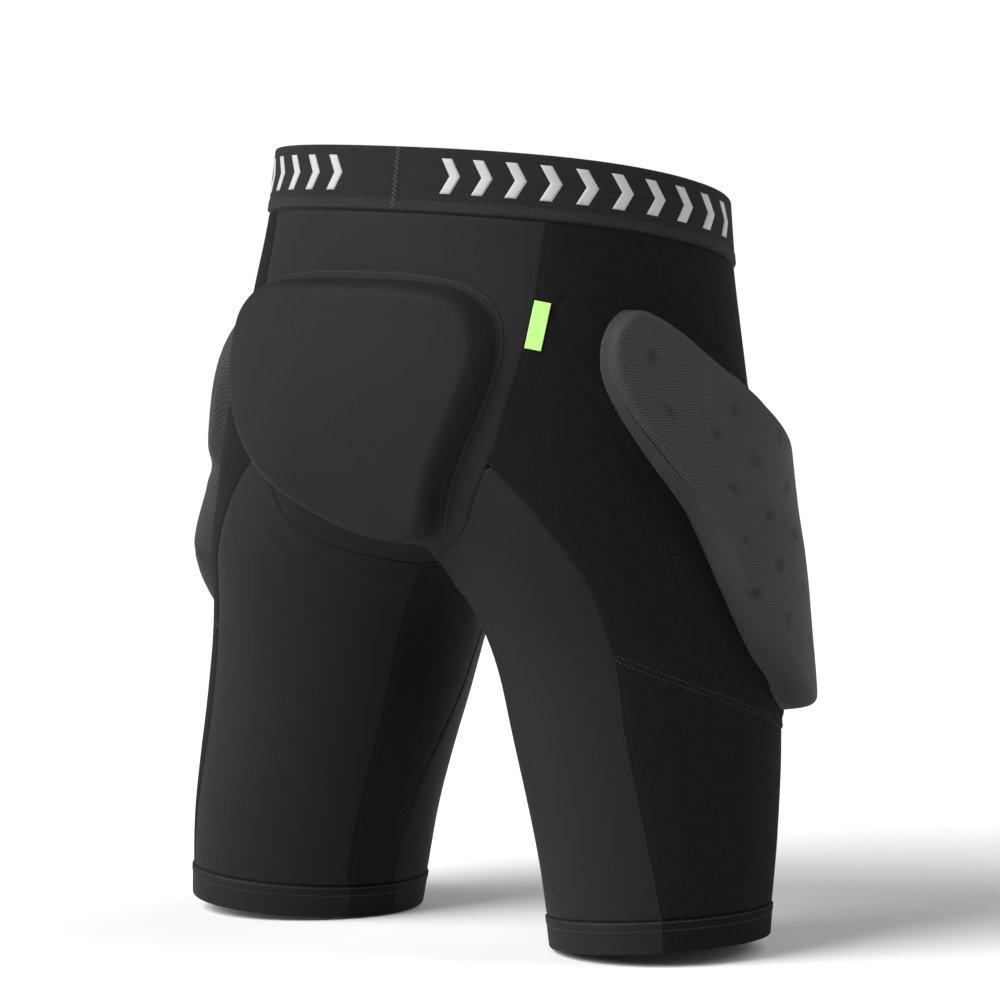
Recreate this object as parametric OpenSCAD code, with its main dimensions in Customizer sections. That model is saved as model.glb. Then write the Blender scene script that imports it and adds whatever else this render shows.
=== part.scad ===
// Padded impact shorts: knitted panels, an elastic waistband, turned hems,
// a tail pad and two hip pads. The wearer faces -Y, the wearer's left is +X.
// The origin is the centre of the waist opening, on the waistband's top edge.

/* [Waist] */
// Width of the waist opening, side to side
waist_width = 314; // [306:1:322]
// Depth of the waist opening, front to back
waist_depth = 219; // [214:1:224]
// Height of the elastic waistband
elastic_height = 40; // [36:1:42]

/* [Legs] */
// Width of one leg at its hem
hem_width = 138; // [134:1:144]
// Distance from the centre plane to the middle of a hem
hem_spread = 146; // [142:1:148]
// Height of the turned hem
hem_height = 20; // [16:1:22]

/* [Fabric] */
// Thickness of the knitted panels
fabric = 1.2; // [1:0.1:1.4]
// Thickness of the elastic and of the turned hems
double_fabric = 2.2; // [1.8:0.1:2.6]
// Half of the gap that a seam fills between two panels
seam_gap = 1.1; // [0.9:0.1:1.3]
// Radius of a seam's thread bead
bead = 0.35; // [0.25:0.05:0.4]

/* [Pads] */
// Thickness of the tail pad's foam
tail_foam = 18; // [14:1:20]
// Thickness of the hip pads' foam
hip_foam = 21; // [16:1:22]
// Thickness of a pad's rim
pad_rim = 6; // [4:1:9]

/* [Label] */
// Length of the side label along the seam
label_length = 30; // [24:1:34]
// Width that the side label stands out of the seam
label_width = 10.5; // [8:0.5:12]

/* [Hidden] */

// A side is 1 for the wearer's left and -1 for the wearer's right.
LEFT = 1;
RIGHT = -1;

// Heights above the hem plane
rise_top = 470;
elastic_low = rise_top - elastic_height;
crotch = 230;

// One cross-section of the left half a row: height above the hem, distance of
// its middle from the centre plane, half width, depth in front, depth behind,
// and the middle's place from front to back. Above the crotch the two halves
// meet on the centre plane.
hem_half = hem_width / 2;
STATIONS = [
    [0, hem_spread, hem_half, hem_half + 1, hem_half + 3, 29],
    [60, hem_spread - 5, hem_half + 6, hem_half + 6, hem_half + 8, 25],
    [135, 127, 83, 83, 85, 18],
    [190, 114, 88, 88, 92, 15],
    [crotch, 98, 98, 94, 104, 14],
    [260, 76, 113, 100, 116, 12],
    [295, 48, 137, 104, 124, 10],
    [335, 24, 155, 107, 126, 7],
    [380, 9, 161, 109, 122, 3],
    [425, 0, 162, 109, 116, 0],
    [rise_top, 0, waist_width / 2, waist_depth / 2 - 1.5, waist_depth / 2 + 1.5, -1.5]
];
last_station = len(STATIONS) - 1;

// Shaping of the body between the stations
seam_valley = 40;      // how far from the centre plane the halves round into each other
seat_fullness = 0.16;  // how much fuller than an ellipse the seat is
leg_shear = 0.08;      // how far the hems turn outwards
hem_slope = 0.07;      // rise of the hem away from its middle
waist_slope = 0.27;    // rise of the waist towards the back
waist_curl = 0.0005;   // how the waist's rise flattens towards the back

// Seam lines on the left half, as [angle round the half in degrees, height].
// Angle 0 is the inside of the leg, 90 the front, 180 the outside, 270 the back.
SEAT_LINE = [
    [226.5, elastic_low], [232, 370], [243, 318], [249.8, 299],
    [258.5, 281], [273.5, 258], [301, 240], [332, 229]
];
FRONT_LINE = [for (p = SEAT_LINE) [360 - p[0], p[1]]];
REAR_LINE = [[249.8, 299], [240.7, 268], [236.2, 232], [237, 184]];
FORE_LINE = [[110.2, 299], [115, 255], [119, 195], [120, 118]];
OUTER_REAR_LINE = [[237, 184], [238.6, 140], [237.3, 95], [234.8, 54], [231.6, hem_height]];
OUTER_FORE_LINE = [[120, 118], [121, 92], [122, 66], [123, 40], [125, hem_height]];
GUSSET_REAR_LINE = [[332, 229], [332, 160], [332, 85], [333, hem_height]];
GUSSET_FORE_LINE = [[28, 229], [19, 150], [3, 85], [-3, hem_height]];
lower_seam_sag = 5;    // how far the lower side seam dips below a straight line
branch = 3;            // where the seat and front lines meet the side panel's lower seams
seam_steps = 3;        // chords between two points of a seam line
side_columns = 10;     // chords across a side panel

// Pad outlines: the hip pad's as [angle, height], the tail pad's as [distance
// from the centre plane towards the wearer's left, height]
HIP_OUTLINE = [
    [214.8, 350], [213, 370], [206.5, 382], [197, 372], [186, 352], [168, 328], [148, 306],
    [131, 282], [119, 252], [114, 218], [117, 182], [128, 154], [143, 141], [157, 147],
    [170, 166], [181, 190], [189, 226], [194.5, 266], [204.5, 300], [212, 328]
];
HIP_MIDDLE = [164, 250];
TAIL_OUTLINE = [
    [-20, 249], [14, 255], [46, 267], [74, 282], [97, 301], [115, 324], [126, 350],
    [122, 373], [98, 386], [58, 390], [10, 391], [-34, 391], [-66, 387.5], [-86, 376],
    [-92, 355], [-85, 329], [-73, 304], [-62, 281], [-54, 262], [-42, 251.5]
];
TAIL_MIDDLE = [12, 325];
HIP_POCKET = [
    [225.5, 374], [222, 390], [214, 398], [203.5, 394], [192, 382], [180.5, 367], [164, 348],
    [144, 327], [124, 298], [112, 262], [107, 222], [110, 180], [123, 147], [143, 134],
    [157, 144], [169, 159], [186.5, 176], [198, 193], [203, 210], [203.8, 232], [203.5, 256],
    [206.5, 279], [211, 307], [216.5, 332], [222, 349]
];
PAD_RINGS = [0.2, 0.42, 0.64, 0.82, 0.93, 1];
TAIL_LINING_RINGS = [0.35, 0.62, 0.8, 0.93];
HIP_LINING_RINGS = [0.35, 0.62, 0.8, 0.96];
TAIL_POINTS = 34;          // chords round a pad's outline
HIP_POINTS = 36;
pad_base = fabric + 1;     // underside of a pad above the panel's inner face
cover_gap = 0.4;           // room between a foam and its cover
cover_flange = 1.05;       // how far a cover reaches past its foam
lining_high = -1.4;        // outer face of a lining, inside the panels
lining_thick = 0.8;
label_height = 371;        // height of the label's middle
label_thick = 0.7;

// ---- Numbers and curves ----

function smooth(t) = let (c = max(0, min(1, t))) c * c * (3 - 2 * c);
function flatten(rows) = [for (row = rows) for (p = row) p];
function unit(v) = v / norm(v);

// A point of the smooth curve through the given points, t counted in points
function curve_at(points, t) =
    let (
        last = len(points) - 1,
        k = min(floor(t), last - 1),
        u = t - k,
        b = points[k],
        c = points[k + 1],
        a = k > 0 ? points[k - 1] : 2 * b - c,
        d = k < last - 1 ? points[k + 2] : 2 * c - b
    )
    0.5 * (2 * b + (c - a) * u + (2 * a - 5 * b + 4 * c - d) * u * u
        + (3 * b - a - 3 * c + d) * u * u * u);

// The curve from point number first to point number last, a few chords a point
function line_part(points, first, last) =
    [for (i = [0 : (last - first) * seam_steps]) curve_at(points, first + i / seam_steps)];
function whole_line(points) = line_part(points, 0, len(points) - 1);

// The closed smooth curve through the given points, in n chords
function loop_line(points, n) =
    let (m = len(points), extended = [for (i = [-1 : m + 1]) points[(i + m) % m]])
    [for (i = [0 : n - 1]) curve_at(extended, 1 + i * m / n)];

// ---- The body surface ----

SLOPES = [
    for (k = [0 : last_station])
        let (a = STATIONS[max(k - 1, 0)], b = STATIONS[min(k + 1, last_station)])
        (b - a) / (b[0] - a[0])
];

// The cross-section at height h, by Hermite interpolation of the stations
function section(h) =
    let (
        below = len([for (s = STATIONS) if (s[0] <= h) 1]) - 1,
        k = max(0, min(below, last_station - 1)),
        span = STATIONS[k + 1][0] - STATIONS[k][0],
        t = (h - STATIONS[k][0]) / span
    )
    (2 * t * t * t - 3 * t * t + 1) * STATIONS[k] + (t * t * t - 2 * t * t + t) * span * SLOPES[k]
        + (3 * t * t - 2 * t * t * t) * STATIONS[k + 1] + (t * t * t - t * t) * span * SLOPES[k + 1];

// The angle at which a half meets the centre plane at height h
function centre_angle(h) = let (s = section(h)) h > crotch ? acos(min(1, s[1] / s[2])) : 0;

// The height of a point, from its level h and its place from front to back
function lift(h, y) = smooth((h - 250) / 200) * (waist_slope * y - waist_curl * y * y);

// A point of the left half's surface
function skin(angle, h) =
    let (
        s = section(h),
        middle = h > crotch ? min(s[1], s[2]) : s[1],
        half = s[2],
        x = middle - half * cos(angle),
        round_to = seam_valley * smooth((h - crotch) / 60),
        edge = max(-1, min(1, (round_to - middle) / half)),
        edge_depth = sqrt(max(0, 1 - edge * edge)),
        edge_slope = -edge / (half * max(0.01, edge_depth)),
        plain = sin(angle),
        in_valley = h > crotch && x < round_to && round_to > 0.001,
        valley = edge_depth + edge_slope * (x * x - round_to * round_to)
            / (2 * max(0.001, round_to)),
        depth = in_valley ? sign(plain) * valley : plain,
        fuller = 1 + seat_fullness * smooth((h - 150) / 100) * max(0, 1 - depth * depth),
        y = depth > 0 ? s[5] - s[3] * depth : s[5] - s[4] * depth * fuller,
        sheared = x + leg_shear * (1 - smooth(h / 135)) * (y - s[5]),
        hem_lift = hem_slope * (1 - smooth(h / 200)) * (sheared - middle)
    )
    [sheared, y, h + lift(h, y) + hem_lift - rise_top];

function skin_normal(angle, h) =
    unit(cross(skin(angle + 0.1, h) - skin(angle - 0.1, h), skin(angle, h + 0.5) - skin(angle, h - 0.5)));

function to_side(p, side) = [side * p[0], p[1], p[2]];

// A point at a distance outside the surface, on the left or right half
function on_body(place, side, out) =
    let (p = skin(place[0], place[1]))
    to_side(out == 0 ? p : p + out * skin_normal(place[0], place[1]), side);

// ---- Solids from grids of points ----

function signed_volume(points, faces) =
    let (parts = [for (f = faces) points[f[0]] * cross(points[f[1]], points[f[2]])])
    parts * [for (p = parts) 1];

// A polyhedron whose faces are turned to look outwards
module solid(points, faces) {
    outward = signed_volume(points, faces) < 0;
    polyhedron(points, outward ? faces : [for (f = faces) [f[2], f[1], f[0]]], convexity = 8);
}

function quad(a, b, c, d) = [[a, b, c], [a, c, d]];

// A sheet of cloth between two grids of points. A wrapped sheet is a ring.
module sheet(outer, inner, wrap = false) {
    rows = len(outer);
    columns = len(outer[0]);
    count = rows * columns;
    spans = wrap ? columns : columns - 1;
    function at(i, j) = i * columns + j % columns;
    faces = concat(
        [for (i = [0 : rows - 2]) for (j = [0 : spans - 1])
            each quad(at(i, j), at(i, j + 1), at(i + 1, j + 1), at(i + 1, j))],
        [for (i = [0 : rows - 2]) for (j = [0 : spans - 1])
            each quad(count + at(i, j), count + at(i + 1, j), count + at(i + 1, j + 1),
                count + at(i, j + 1))],
        [for (j = [0 : spans - 1])
            each quad(at(0, j), count + at(0, j), count + at(0, j + 1), at(0, j + 1))],
        [for (j = [0 : spans - 1])
            each quad(at(rows - 1, j), at(rows - 1, j + 1), count + at(rows - 1, j + 1),
                count + at(rows - 1, j))],
        wrap ? [] : [for (i = [0 : rows - 2])
            each quad(at(i, 0), at(i + 1, 0), count + at(i + 1, 0), count + at(i, 0))],
        wrap ? [] : [for (i = [0 : rows - 2])
            each quad(at(i, columns - 1), count + at(i, columns - 1),
                count + at(i + 1, columns - 1), at(i + 1, columns - 1))]
    );
    solid(concat(flatten(outer), flatten(inner)), faces);
}

// A disc of rings round a middle point, between a top and an underside
module disc(top_middle, top, under_middle, under) {
    n = len(top[0]);
    rings = len(top);
    count = rings * n;
    function at(i, j) = i * n + j % n;
    faces = concat(
        [for (j = [0 : n - 1]) [2 * count, at(0, j), at(0, j + 1)]],
        [for (j = [0 : n - 1]) [2 * count + 1, count + at(0, j + 1), count + at(0, j)]],
        [for (i = [0 : rings - 2]) for (j = [0 : n - 1])
            each quad(at(i, j), at(i + 1, j), at(i + 1, j + 1), at(i, j + 1))],
        [for (i = [0 : rings - 2]) for (j = [0 : n - 1])
            each quad(count + at(i, j), count + at(i, j + 1), count + at(i + 1, j + 1),
                count + at(i + 1, j))],
        [for (j = [0 : n - 1])
            each quad(at(rings - 1, j), count + at(rings - 1, j), count + at(rings - 1, j + 1),
                at(rings - 1, j + 1))]
    );
    solid(concat(flatten(top), flatten(under), [top_middle, under_middle]), faces);
}

// A round bead along a spine, with a direction away from the body at each point
module tube(spine, ups, radius, closed = false) {
    sides = 5;
    n = len(spine);
    function next(i) = closed ? (i + 1) % n : min(i + 1, n - 1);
    function previous(i) = closed ? (i + n - 1) % n : max(i - 1, 0);
    rings = [
        for (i = [0 : n - 1])
            let (across = unit(cross(spine[next(i)] - spine[previous(i)], ups[i])))
            [for (k = [0 : sides - 1])
                spine[i] + radius * (cos(k * 360 / sides) * across + sin(k * 360 / sides) * ups[i])]
    ];
    last = (n - 1) * sides;
    faces = concat(
        [for (i = [0 : (closed ? n - 1 : n - 2)]) for (k = [0 : sides - 1])
            let (a = i * sides, b = next(i) * sides, m = (k + 1) % sides)
            each quad(a + k, a + m, b + m, b + k)],
        closed ? [] : [for (k = [1 : sides - 2]) [0, k + 1, k]],
        closed ? [] : [for (k = [1 : sides - 2]) [last, last + k, last + k + 1]]
    );
    solid(flatten(rings), faces);
}

// A bead of thread along a line of places on the surface
module thread(places, side, out, radius = bead, closed = false) {
    tube(
        [for (p = places) on_body(p, side, out)],
        [for (p = places) to_side(skin_normal(p[0], p[1]), side)],
        radius, closed
    );
}

// ---- Panels ----

// The grid of a panel between two seam lines of the same number of points. The
// dip bends its top or its bottom edge down in the middle.
function panel_grid(near, far, columns, side, out, top_gap, low_gap, top_dip, low_dip) =
    let (n = len(near) - 1)
    [for (i = [0 : n])
        let (
            width = norm(on_body(near[i], side, 0) - on_body(far[i], side, 0)),
            inset = seam_gap / width,
            gap = i == 0 ? -top_gap : i == n ? low_gap : 0
        )
        [for (j = [0 : columns])
            let (
                s = inset + (1 - 2 * inset) * j / columns,
                dip = 4 * s * (1 - s) * (top_dip * pow(1 - i / n, 2) + low_dip * pow(i / n, 2)),
                place = near[i] + s * (far[i] - near[i])
            )
            on_body([place[0], place[1] + gap - dip], side, out)]];

module panel(near, far, columns, side, top_gap = seam_gap, low_gap = seam_gap, top_dip = 0,
        low_dip = 0) {
    sheet(
        panel_grid(near, far, columns, side, fabric, top_gap, low_gap, top_dip, low_dip),
        panel_grid(near, far, columns, side, 0, top_gap, low_gap, top_dip, low_dip)
    );
}

// A panel that crosses the centre plane, between a seam line and its mirror image
function centre_grid(line, out, behind) =
    let (n = len(line) - 1, columns = 7)
    [for (i = [0 : n])
        let (
            gap = i == 0 ? -seam_gap : 0,
            level = max(crotch + 1.6, line[i][1] + 1.6 * i / n),
            meet = centre_angle(level),
            middle = [behind ? 360 - meet : meet, level],
            width = norm(on_body(line[i], LEFT, 0) - on_body(middle, LEFT, 0)),
            inset = seam_gap / width,
            low_lift = (seam_gap + 0.2) * smooth((265 - line[i][1]) / 25)
        )
        [for (j = [-columns : columns])
            let (
                s = inset + (1 - inset) * (1 - abs(j) / columns),
                place = line[i] + s * (middle - line[i])
            )
            on_body([place[0], place[1] + gap + low_lift * (1 - s)], j < 0 ? RIGHT : LEFT, out)]];

module centre_panel(line, behind) {
    sheet(centre_grid(line, fabric, behind), centre_grid(line, 0, behind));
}

// Once round the waist from the front, as [angle, side]
WAIST_TURNS = concat(
    [for (a = [90 : 5 : 270]) [a, LEFT]],
    [for (a = [265 : -5 : 95]) [a, RIGHT]]
);

// A closed ring round the waist, at level h
function waist_ring(h, out) = [for (t = WAIST_TURNS) on_body([t[0], h], t[1], out)];

module waistband() {
    levels = [elastic_low + seam_gap, elastic_low + elastic_height / 2, rise_top];
    color([0.13, 0.13, 0.14])
        sheet(
            [for (h = levels) waist_ring(h, double_fabric)],
            [for (h = levels) waist_ring(h, 0)],
            wrap = true
        );
}

// The zigzag seam that joins the elastic's two ends at the middle of the back
module waistband_join_stitch() {
    turns = 12;
    clear = 3;          // room below and above the zigzag
    near_middle = 0.64; // the zigzag's two edges, in degrees from the centre plane
    far_middle = 1.92;
    step = (elastic_height - 2 * clear) / turns;
    zigzag = [
        for (i = [0 : turns])
            [270 - (i % 2 == 0 ? near_middle : far_middle), elastic_low + clear + i * step]
    ];
    color([0.22, 0.22, 0.23])
        thread(zigzag, LEFT, double_fabric + bead + 0.2);
}

module waist_seam() {
    color([0.05, 0.05, 0.05])
        tube(
            waist_ring(elastic_low, fabric / 2),
            [for (t = WAIST_TURNS) to_side(skin_normal(t[0], elastic_low), t[1])],
            bead, closed = true
        );
}

module seat_panel() {
    color([0.11, 0.11, 0.12])
        centre_panel(whole_line(SEAT_LINE), true);
}

module front_panel() {
    color([0.11, 0.11, 0.12])
        centre_panel(whole_line(FRONT_LINE), false);
}

// Two lines end to end, without repeating the point where they meet
function joined(first, second) = concat(first, [for (i = [1 : len(second) - 1]) second[i]]);

module side_panel(side) {
    color([0.06, 0.06, 0.065])
        panel(
            joined(line_part(SEAT_LINE, 0, branch), whole_line(REAR_LINE)),
            joined(line_part(FRONT_LINE, 0, branch), whole_line(FORE_LINE)),
            side_columns, side, low_dip = lower_seam_sag
        );
}

// The panels behind and in front of the thigh start in a point, which is left
// open for one step because the sheet would have no width there.
function without_tip(line) = [for (i = [1 : len(line) - 1]) line[i]];

module rear_leg_panel(side) {
    foot = len(SEAT_LINE) - 1;
    color([0.1, 0.1, 0.11])
        panel(
            without_tip(joined(whole_line(REAR_LINE), whole_line(OUTER_REAR_LINE))),
            without_tip(joined(line_part(SEAT_LINE, branch, foot), whole_line(GUSSET_REAR_LINE))),
            8, side, top_gap = 0
        );
}

module front_leg_panel(side) {
    foot = len(FRONT_LINE) - 1;
    color([0.1, 0.1, 0.11])
        panel(
            without_tip(joined(whole_line(FORE_LINE), whole_line(OUTER_FORE_LINE))),
            without_tip(joined(line_part(FRONT_LINE, branch, foot), whole_line(GUSSET_FORE_LINE))),
            8, side, top_gap = 0
        );
}

module lower_side_panel(side) {
    color([0.06, 0.06, 0.065])
        panel(
            whole_line(OUTER_REAR_LINE), whole_line(OUTER_FORE_LINE),
            side_columns, side, top_gap = 1.6 * seam_gap, top_dip = lower_seam_sag
        );
}

module gusset(side) {
    color([0.09, 0.09, 0.1])
        panel(
            [for (p = whole_line(GUSSET_REAR_LINE)) [p[0] - 360, p[1]]],
            whole_line(GUSSET_FORE_LINE), 5, side, top_gap = 1.4 * seam_gap
        );
}

HEM_TURNS = [0 : 9 : 351];

module hem(side) {
    levels = [0, hem_height - seam_gap];
    inside = (fabric - double_fabric) / 2;
    function ring(out) = [for (h = levels) [for (a = HEM_TURNS) on_body([a, h], side, out)]];
    color([0.1, 0.1, 0.11])
        sheet(ring(inside + double_fabric), ring(inside), wrap = true);
}

// ---- Seams ----

module seam(line, side) {
    color([0.04, 0.04, 0.04])
        thread(line, side, fabric / 2);
}

// A seam line pulled back a little at its ends, clear of the seams it runs into
function clear_ends(line, first, last) =
    [for (i = [0 : len(line) - 1])
        i == 0 ? line[0] + first * (line[1] - line[0])
        : i == len(line) - 1 ? line[i] + last * (line[i - 1] - line[i])
        : line[i]];

module seat_seam(side) {
    seam(clear_ends(whole_line(SEAT_LINE), 0.1, 0.7), side);
}

module front_seam(side) {
    seam(clear_ends(whole_line(FRONT_LINE), 0.1, 0.7), side);
}

module side_panel_seams(side) {
    corner = curve_at(OUTER_REAR_LINE, 0);
    end = curve_at(OUTER_FORE_LINE, 0);
    low = [
        for (j = [0 : side_columns])
            let (s = j / side_columns)
            corner + s * (end - corner) - [0, lower_seam_sag * 4 * s * (1 - s)]
    ];
    seam(clear_ends(whole_line(REAR_LINE), 0.5, 0.3), side);
    seam(clear_ends(low, 0.35, 0.35), side);
    seam(clear_ends(whole_line(FORE_LINE), 0.5, 0.4), side);
}

module outer_leg_seams(side) {
    seam(clear_ends(whole_line(OUTER_REAR_LINE), 0.2, 0.15), side);
    seam(clear_ends(whole_line(OUTER_FORE_LINE), 0.3, 0.25), side);
}

module gusset_seams(side) {
    seam(clear_ends(whole_line(GUSSET_REAR_LINE), 0.15, 0.1), side);
    seam(clear_ends(whole_line(GUSSET_FORE_LINE), 0.15, 0.1), side);
}

// Two rows of stitches round the hem, as the coverstitch machine leaves them
module hem_stitching(side) {
    rows = [hem_height - 1.4, hem_height - 6];
    thin = 0.3;
    out = (fabric + double_fabric) / 2 + bead;
    color([0.16, 0.16, 0.17])
        for (h = rows)
            thread([for (a = HEM_TURNS) [a, h]], side, out, thin, closed = true);
}

// ---- Tail pad ----

// The panel's surface behind the body, at a distance x from the centre plane
function back_angle(x, h) =
    let (s = section(h), middle = min(s[1], s[2]))
    360 - acos(max(-1, min(1, (middle - abs(x)) / s[2])));

// The foam is flatter than the body: it spans the valley between the thighs
function foam_seat(x, h) =
    let (
        s = section(h),
        across = x / (s[1] + s[2]),
        spanned = s[5] + s[4] * sqrt(1 - across * across) * (1 + seat_fullness * across * across),
        panel_y = skin(back_angle(x, h), h)[1]
    )
    max(spanned, panel_y);

// A point at a distance behind the foam's seat
function on_tail(place, out) =
    let (y = foam_seat(place[0], place[1]))
    [place[0], y + out, place[1] + lift(place[1], y) - rise_top];

function ring_of(outline, middle, r) = [for (p = outline) middle + r * (p - middle)];

// Height of a pad's top above its underside; r is 0 at the middle and 1 at the rim
function crown(thickness, r) =
    pad_rim + (thickness - pad_rim) * (1 - pow(max(0, (r - 0.55) / 0.45), 3));

module tail_pad_foam() {
    outline = loop_line(TAIL_OUTLINE, TAIL_POINTS);
    color([0.18, 0.18, 0.2])
        disc(
            on_tail(TAIL_MIDDLE, pad_base + tail_foam),
            [for (r = PAD_RINGS)
                [for (p = ring_of(outline, TAIL_MIDDLE, r)) on_tail(p, pad_base + crown(tail_foam, r))]],
            on_tail(TAIL_MIDDLE, pad_base),
            [for (r = PAD_RINGS) [for (p = ring_of(outline, TAIL_MIDDLE, r)) on_tail(p, pad_base)]]
        );
}

module tail_pad_cover() {
    outline = loop_line(TAIL_OUTLINE, TAIL_POINTS);
    low = pad_base + cover_gap;
    function face(extra) = concat(
        [for (r = PAD_RINGS)
            [for (p = ring_of(outline, TAIL_MIDDLE, r))
                on_tail(p, low + crown(tail_foam, r) + extra)]],
        [[for (p = ring_of(outline, TAIL_MIDDLE, cover_flange)) on_tail(p, low + extra)]]
    );
    color([0.11, 0.11, 0.12])
        disc(
            on_tail(TAIL_MIDDLE, low + tail_foam + fabric), face(fabric),
            on_tail(TAIL_MIDDLE, low + tail_foam), face(0)
        );
}

// The lining closes the pad's pocket on the inside and follows the seat panel
module tail_pad_lining() {
    outline = loop_line(TAIL_OUTLINE, TAIL_POINTS);
    lowest = 268;
    squeeze = 0.2;  // the lining's lower end is drawn up to stay clear of the thighs
    function place(p) =
        let (h = p[1] > lowest ? p[1] : lowest - squeeze * (lowest - p[1]))
        [back_angle(p[0], h), h];
    function face(out) = [
        for (r = TAIL_LINING_RINGS)
            [for (p = ring_of(outline, TAIL_MIDDLE, r))
                on_body(place(p), p[0] < 0 ? RIGHT : LEFT, out)]
    ];
    color([0.14, 0.14, 0.15])
        disc(
            on_body(place(TAIL_MIDDLE), LEFT, lining_high), face(lining_high),
            on_body(place(TAIL_MIDDLE), LEFT, lining_high - lining_thick),
            face(lining_high - lining_thick)
        );
}

// A row of stitches just outside the cover's flange
module tail_pad_stitching() {
    reach = 1.065;
    spine = [
        for (p = ring_of(loop_line(TAIL_OUTLINE, 48), TAIL_MIDDLE, reach))
            on_tail(p, pad_base + cover_gap + fabric + 0.2)
    ];
    color([0.2, 0.2, 0.21])
        tube(spine, [for (p = spine) [0, 1, 0]], bead, closed = true);
}

// ---- Hip pads ----

// The left pad stands more upright: its foot lies further back and its top further
// forward than the right pad's
function upright(p, side) =
    side == RIGHT ? p
    : [p[0] + max(-26, min(16, 0.25 * (282 - p[1]))), p[1] + 10 * smooth((250 - p[1]) / 80)];

function on_hip(p, side, out) = on_body(upright(p, side), side, out);

// The rings of a hip pad's face, each at its own distance outside the surface
function hip_face(side, rings, outs) = [
    for (i = [0 : len(rings) - 1])
        [for (p = ring_of(loop_line(HIP_OUTLINE, HIP_POINTS), HIP_MIDDLE, rings[i]))
            on_hip(p, side, outs[i])]
];

module hip_pad_foam(side) {
    color([0.2, 0.2, 0.21])
        disc(
            on_hip(HIP_MIDDLE, side, pad_base + hip_foam),
            hip_face(side, PAD_RINGS, [for (r = PAD_RINGS) pad_base + crown(hip_foam, r)]),
            on_hip(HIP_MIDDLE, side, pad_base),
            hip_face(side, PAD_RINGS, [for (r = PAD_RINGS) pad_base])
        );
}

module hip_pad_cover(side) {
    low = pad_base + cover_gap;
    rings = concat(PAD_RINGS, [cover_flange]);
    heights = concat([for (r = PAD_RINGS) low + crown(hip_foam, r)], [low]);
    color([0.3, 0.3, 0.31])
        disc(
            on_hip(HIP_MIDDLE, side, low + hip_foam + fabric),
            hip_face(side, rings, [for (h = heights) h + fabric]),
            on_hip(HIP_MIDDLE, side, low + hip_foam),
            hip_face(side, rings, heights)
        );
}

module hip_pad_lining(side) {
    under = lining_high - lining_thick;
    rings = HIP_LINING_RINGS;
    color([0.14, 0.14, 0.15])
        disc(
            on_hip(HIP_MIDDLE, side, lining_high),
            hip_face(side, rings, [for (r = rings) lining_high]),
            on_hip(HIP_MIDDLE, side, under), hip_face(side, rings, [for (r = rings) under])
        );
}

module hip_pocket_stitching(side) {
    color([0.2, 0.2, 0.21])
        thread(
            [for (p = loop_line(HIP_POCKET, 56)) upright(p, side)],
            side, fabric + 0.35 + bead, closed = true
        );
}

// ---- Label ----

// A folded tab sewn into the seat seam on the wearer's right
module side_label() {
    seam_angle = 232;
    half_angle = 1.8;  // from the seam to the tab's middle, in degrees
    lean = 2;          // how far the seam turns over the tab's length, in degrees
    reach = seam_angle - half_angle;
    middle = on_body([reach, label_height], RIGHT, fabric + 0.9 + label_thick / 2);
    out = to_side(skin_normal(reach, label_height), RIGHT);
    low = on_body([seam_angle + lean, label_height - label_length / 2], RIGHT, 0);
    high = on_body([seam_angle - lean, label_height + label_length / 2], RIGHT, 0);
    along = unit(high - low);
    across = unit(cross(along, out));
    up = cross(across, along);
    frame = [
        [across[0], along[0], up[0], middle[0]],
        [across[1], along[1], up[1], middle[1]],
        [across[2], along[2], up[2], middle[2]],
        [0, 0, 0, 1]
    ];
    color([0.45, 0.85, 0.15])
        multmatrix(frame)
            cube([label_width, label_length, label_thick], center = true);
}

waistband();
waistband_join_stitch();
waist_seam();
seat_panel();
front_panel();
side_panel(LEFT);  // side_panel_left
side_panel(RIGHT);  // side_panel_right
rear_leg_panel(LEFT);  // rear_leg_panel_left
rear_leg_panel(RIGHT);  // rear_leg_panel_right
front_leg_panel(LEFT);  // front_leg_panel_left
front_leg_panel(RIGHT);  // front_leg_panel_right
lower_side_panel(LEFT);  // lower_side_panel_left
lower_side_panel(RIGHT);  // lower_side_panel_right
gusset(LEFT);  // gusset_left
gusset(RIGHT);  // gusset_right
hem(LEFT);  // hem_left
hem(RIGHT);  // hem_right
seat_seam(LEFT);  // seat_seam_left
seat_seam(RIGHT);  // seat_seam_right
front_seam(LEFT);  // front_seam_left
front_seam(RIGHT);  // front_seam_right
side_panel_seams(LEFT);  // side_panel_seams_left
side_panel_seams(RIGHT);  // side_panel_seams_right
outer_leg_seams(LEFT);  // outer_leg_seams_left
outer_leg_seams(RIGHT);  // outer_leg_seams_right
gusset_seams(LEFT);  // gusset_seams_left
gusset_seams(RIGHT);  // gusset_seams_right
hem_stitching(LEFT);  // hem_stitching_left
hem_stitching(RIGHT);  // hem_stitching_right
tail_pad_foam();
tail_pad_cover();
tail_pad_lining();
tail_pad_stitching();
hip_pad_foam(LEFT);  // hip_pad_foam_left
hip_pad_foam(RIGHT);  // hip_pad_foam_right
hip_pad_cover(LEFT);  // hip_pad_cover_left
hip_pad_cover(RIGHT);  // hip_pad_cover_right
hip_pad_lining(LEFT);  // hip_pad_lining_left
hip_pad_lining(RIGHT);  // hip_pad_lining_right
hip_pocket_stitching(LEFT);  // hip_pocket_stitching_left
hip_pocket_stitching(RIGHT);  // hip_pocket_stitching_right
side_label();
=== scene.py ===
"""Padded impact shorts: the looks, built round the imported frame.

Lengths in this script are millimetres until a mesh is made. A place on the body is an
angle round one half (0 inside the leg, 90 front, 180 outside, 270 back) and a height
above the hem plane; side is 1 for the wearer's left and -1 for the wearer's right.
"""

import math

import bpy
import numpy as np
from mathutils import Matrix, Vector


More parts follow.
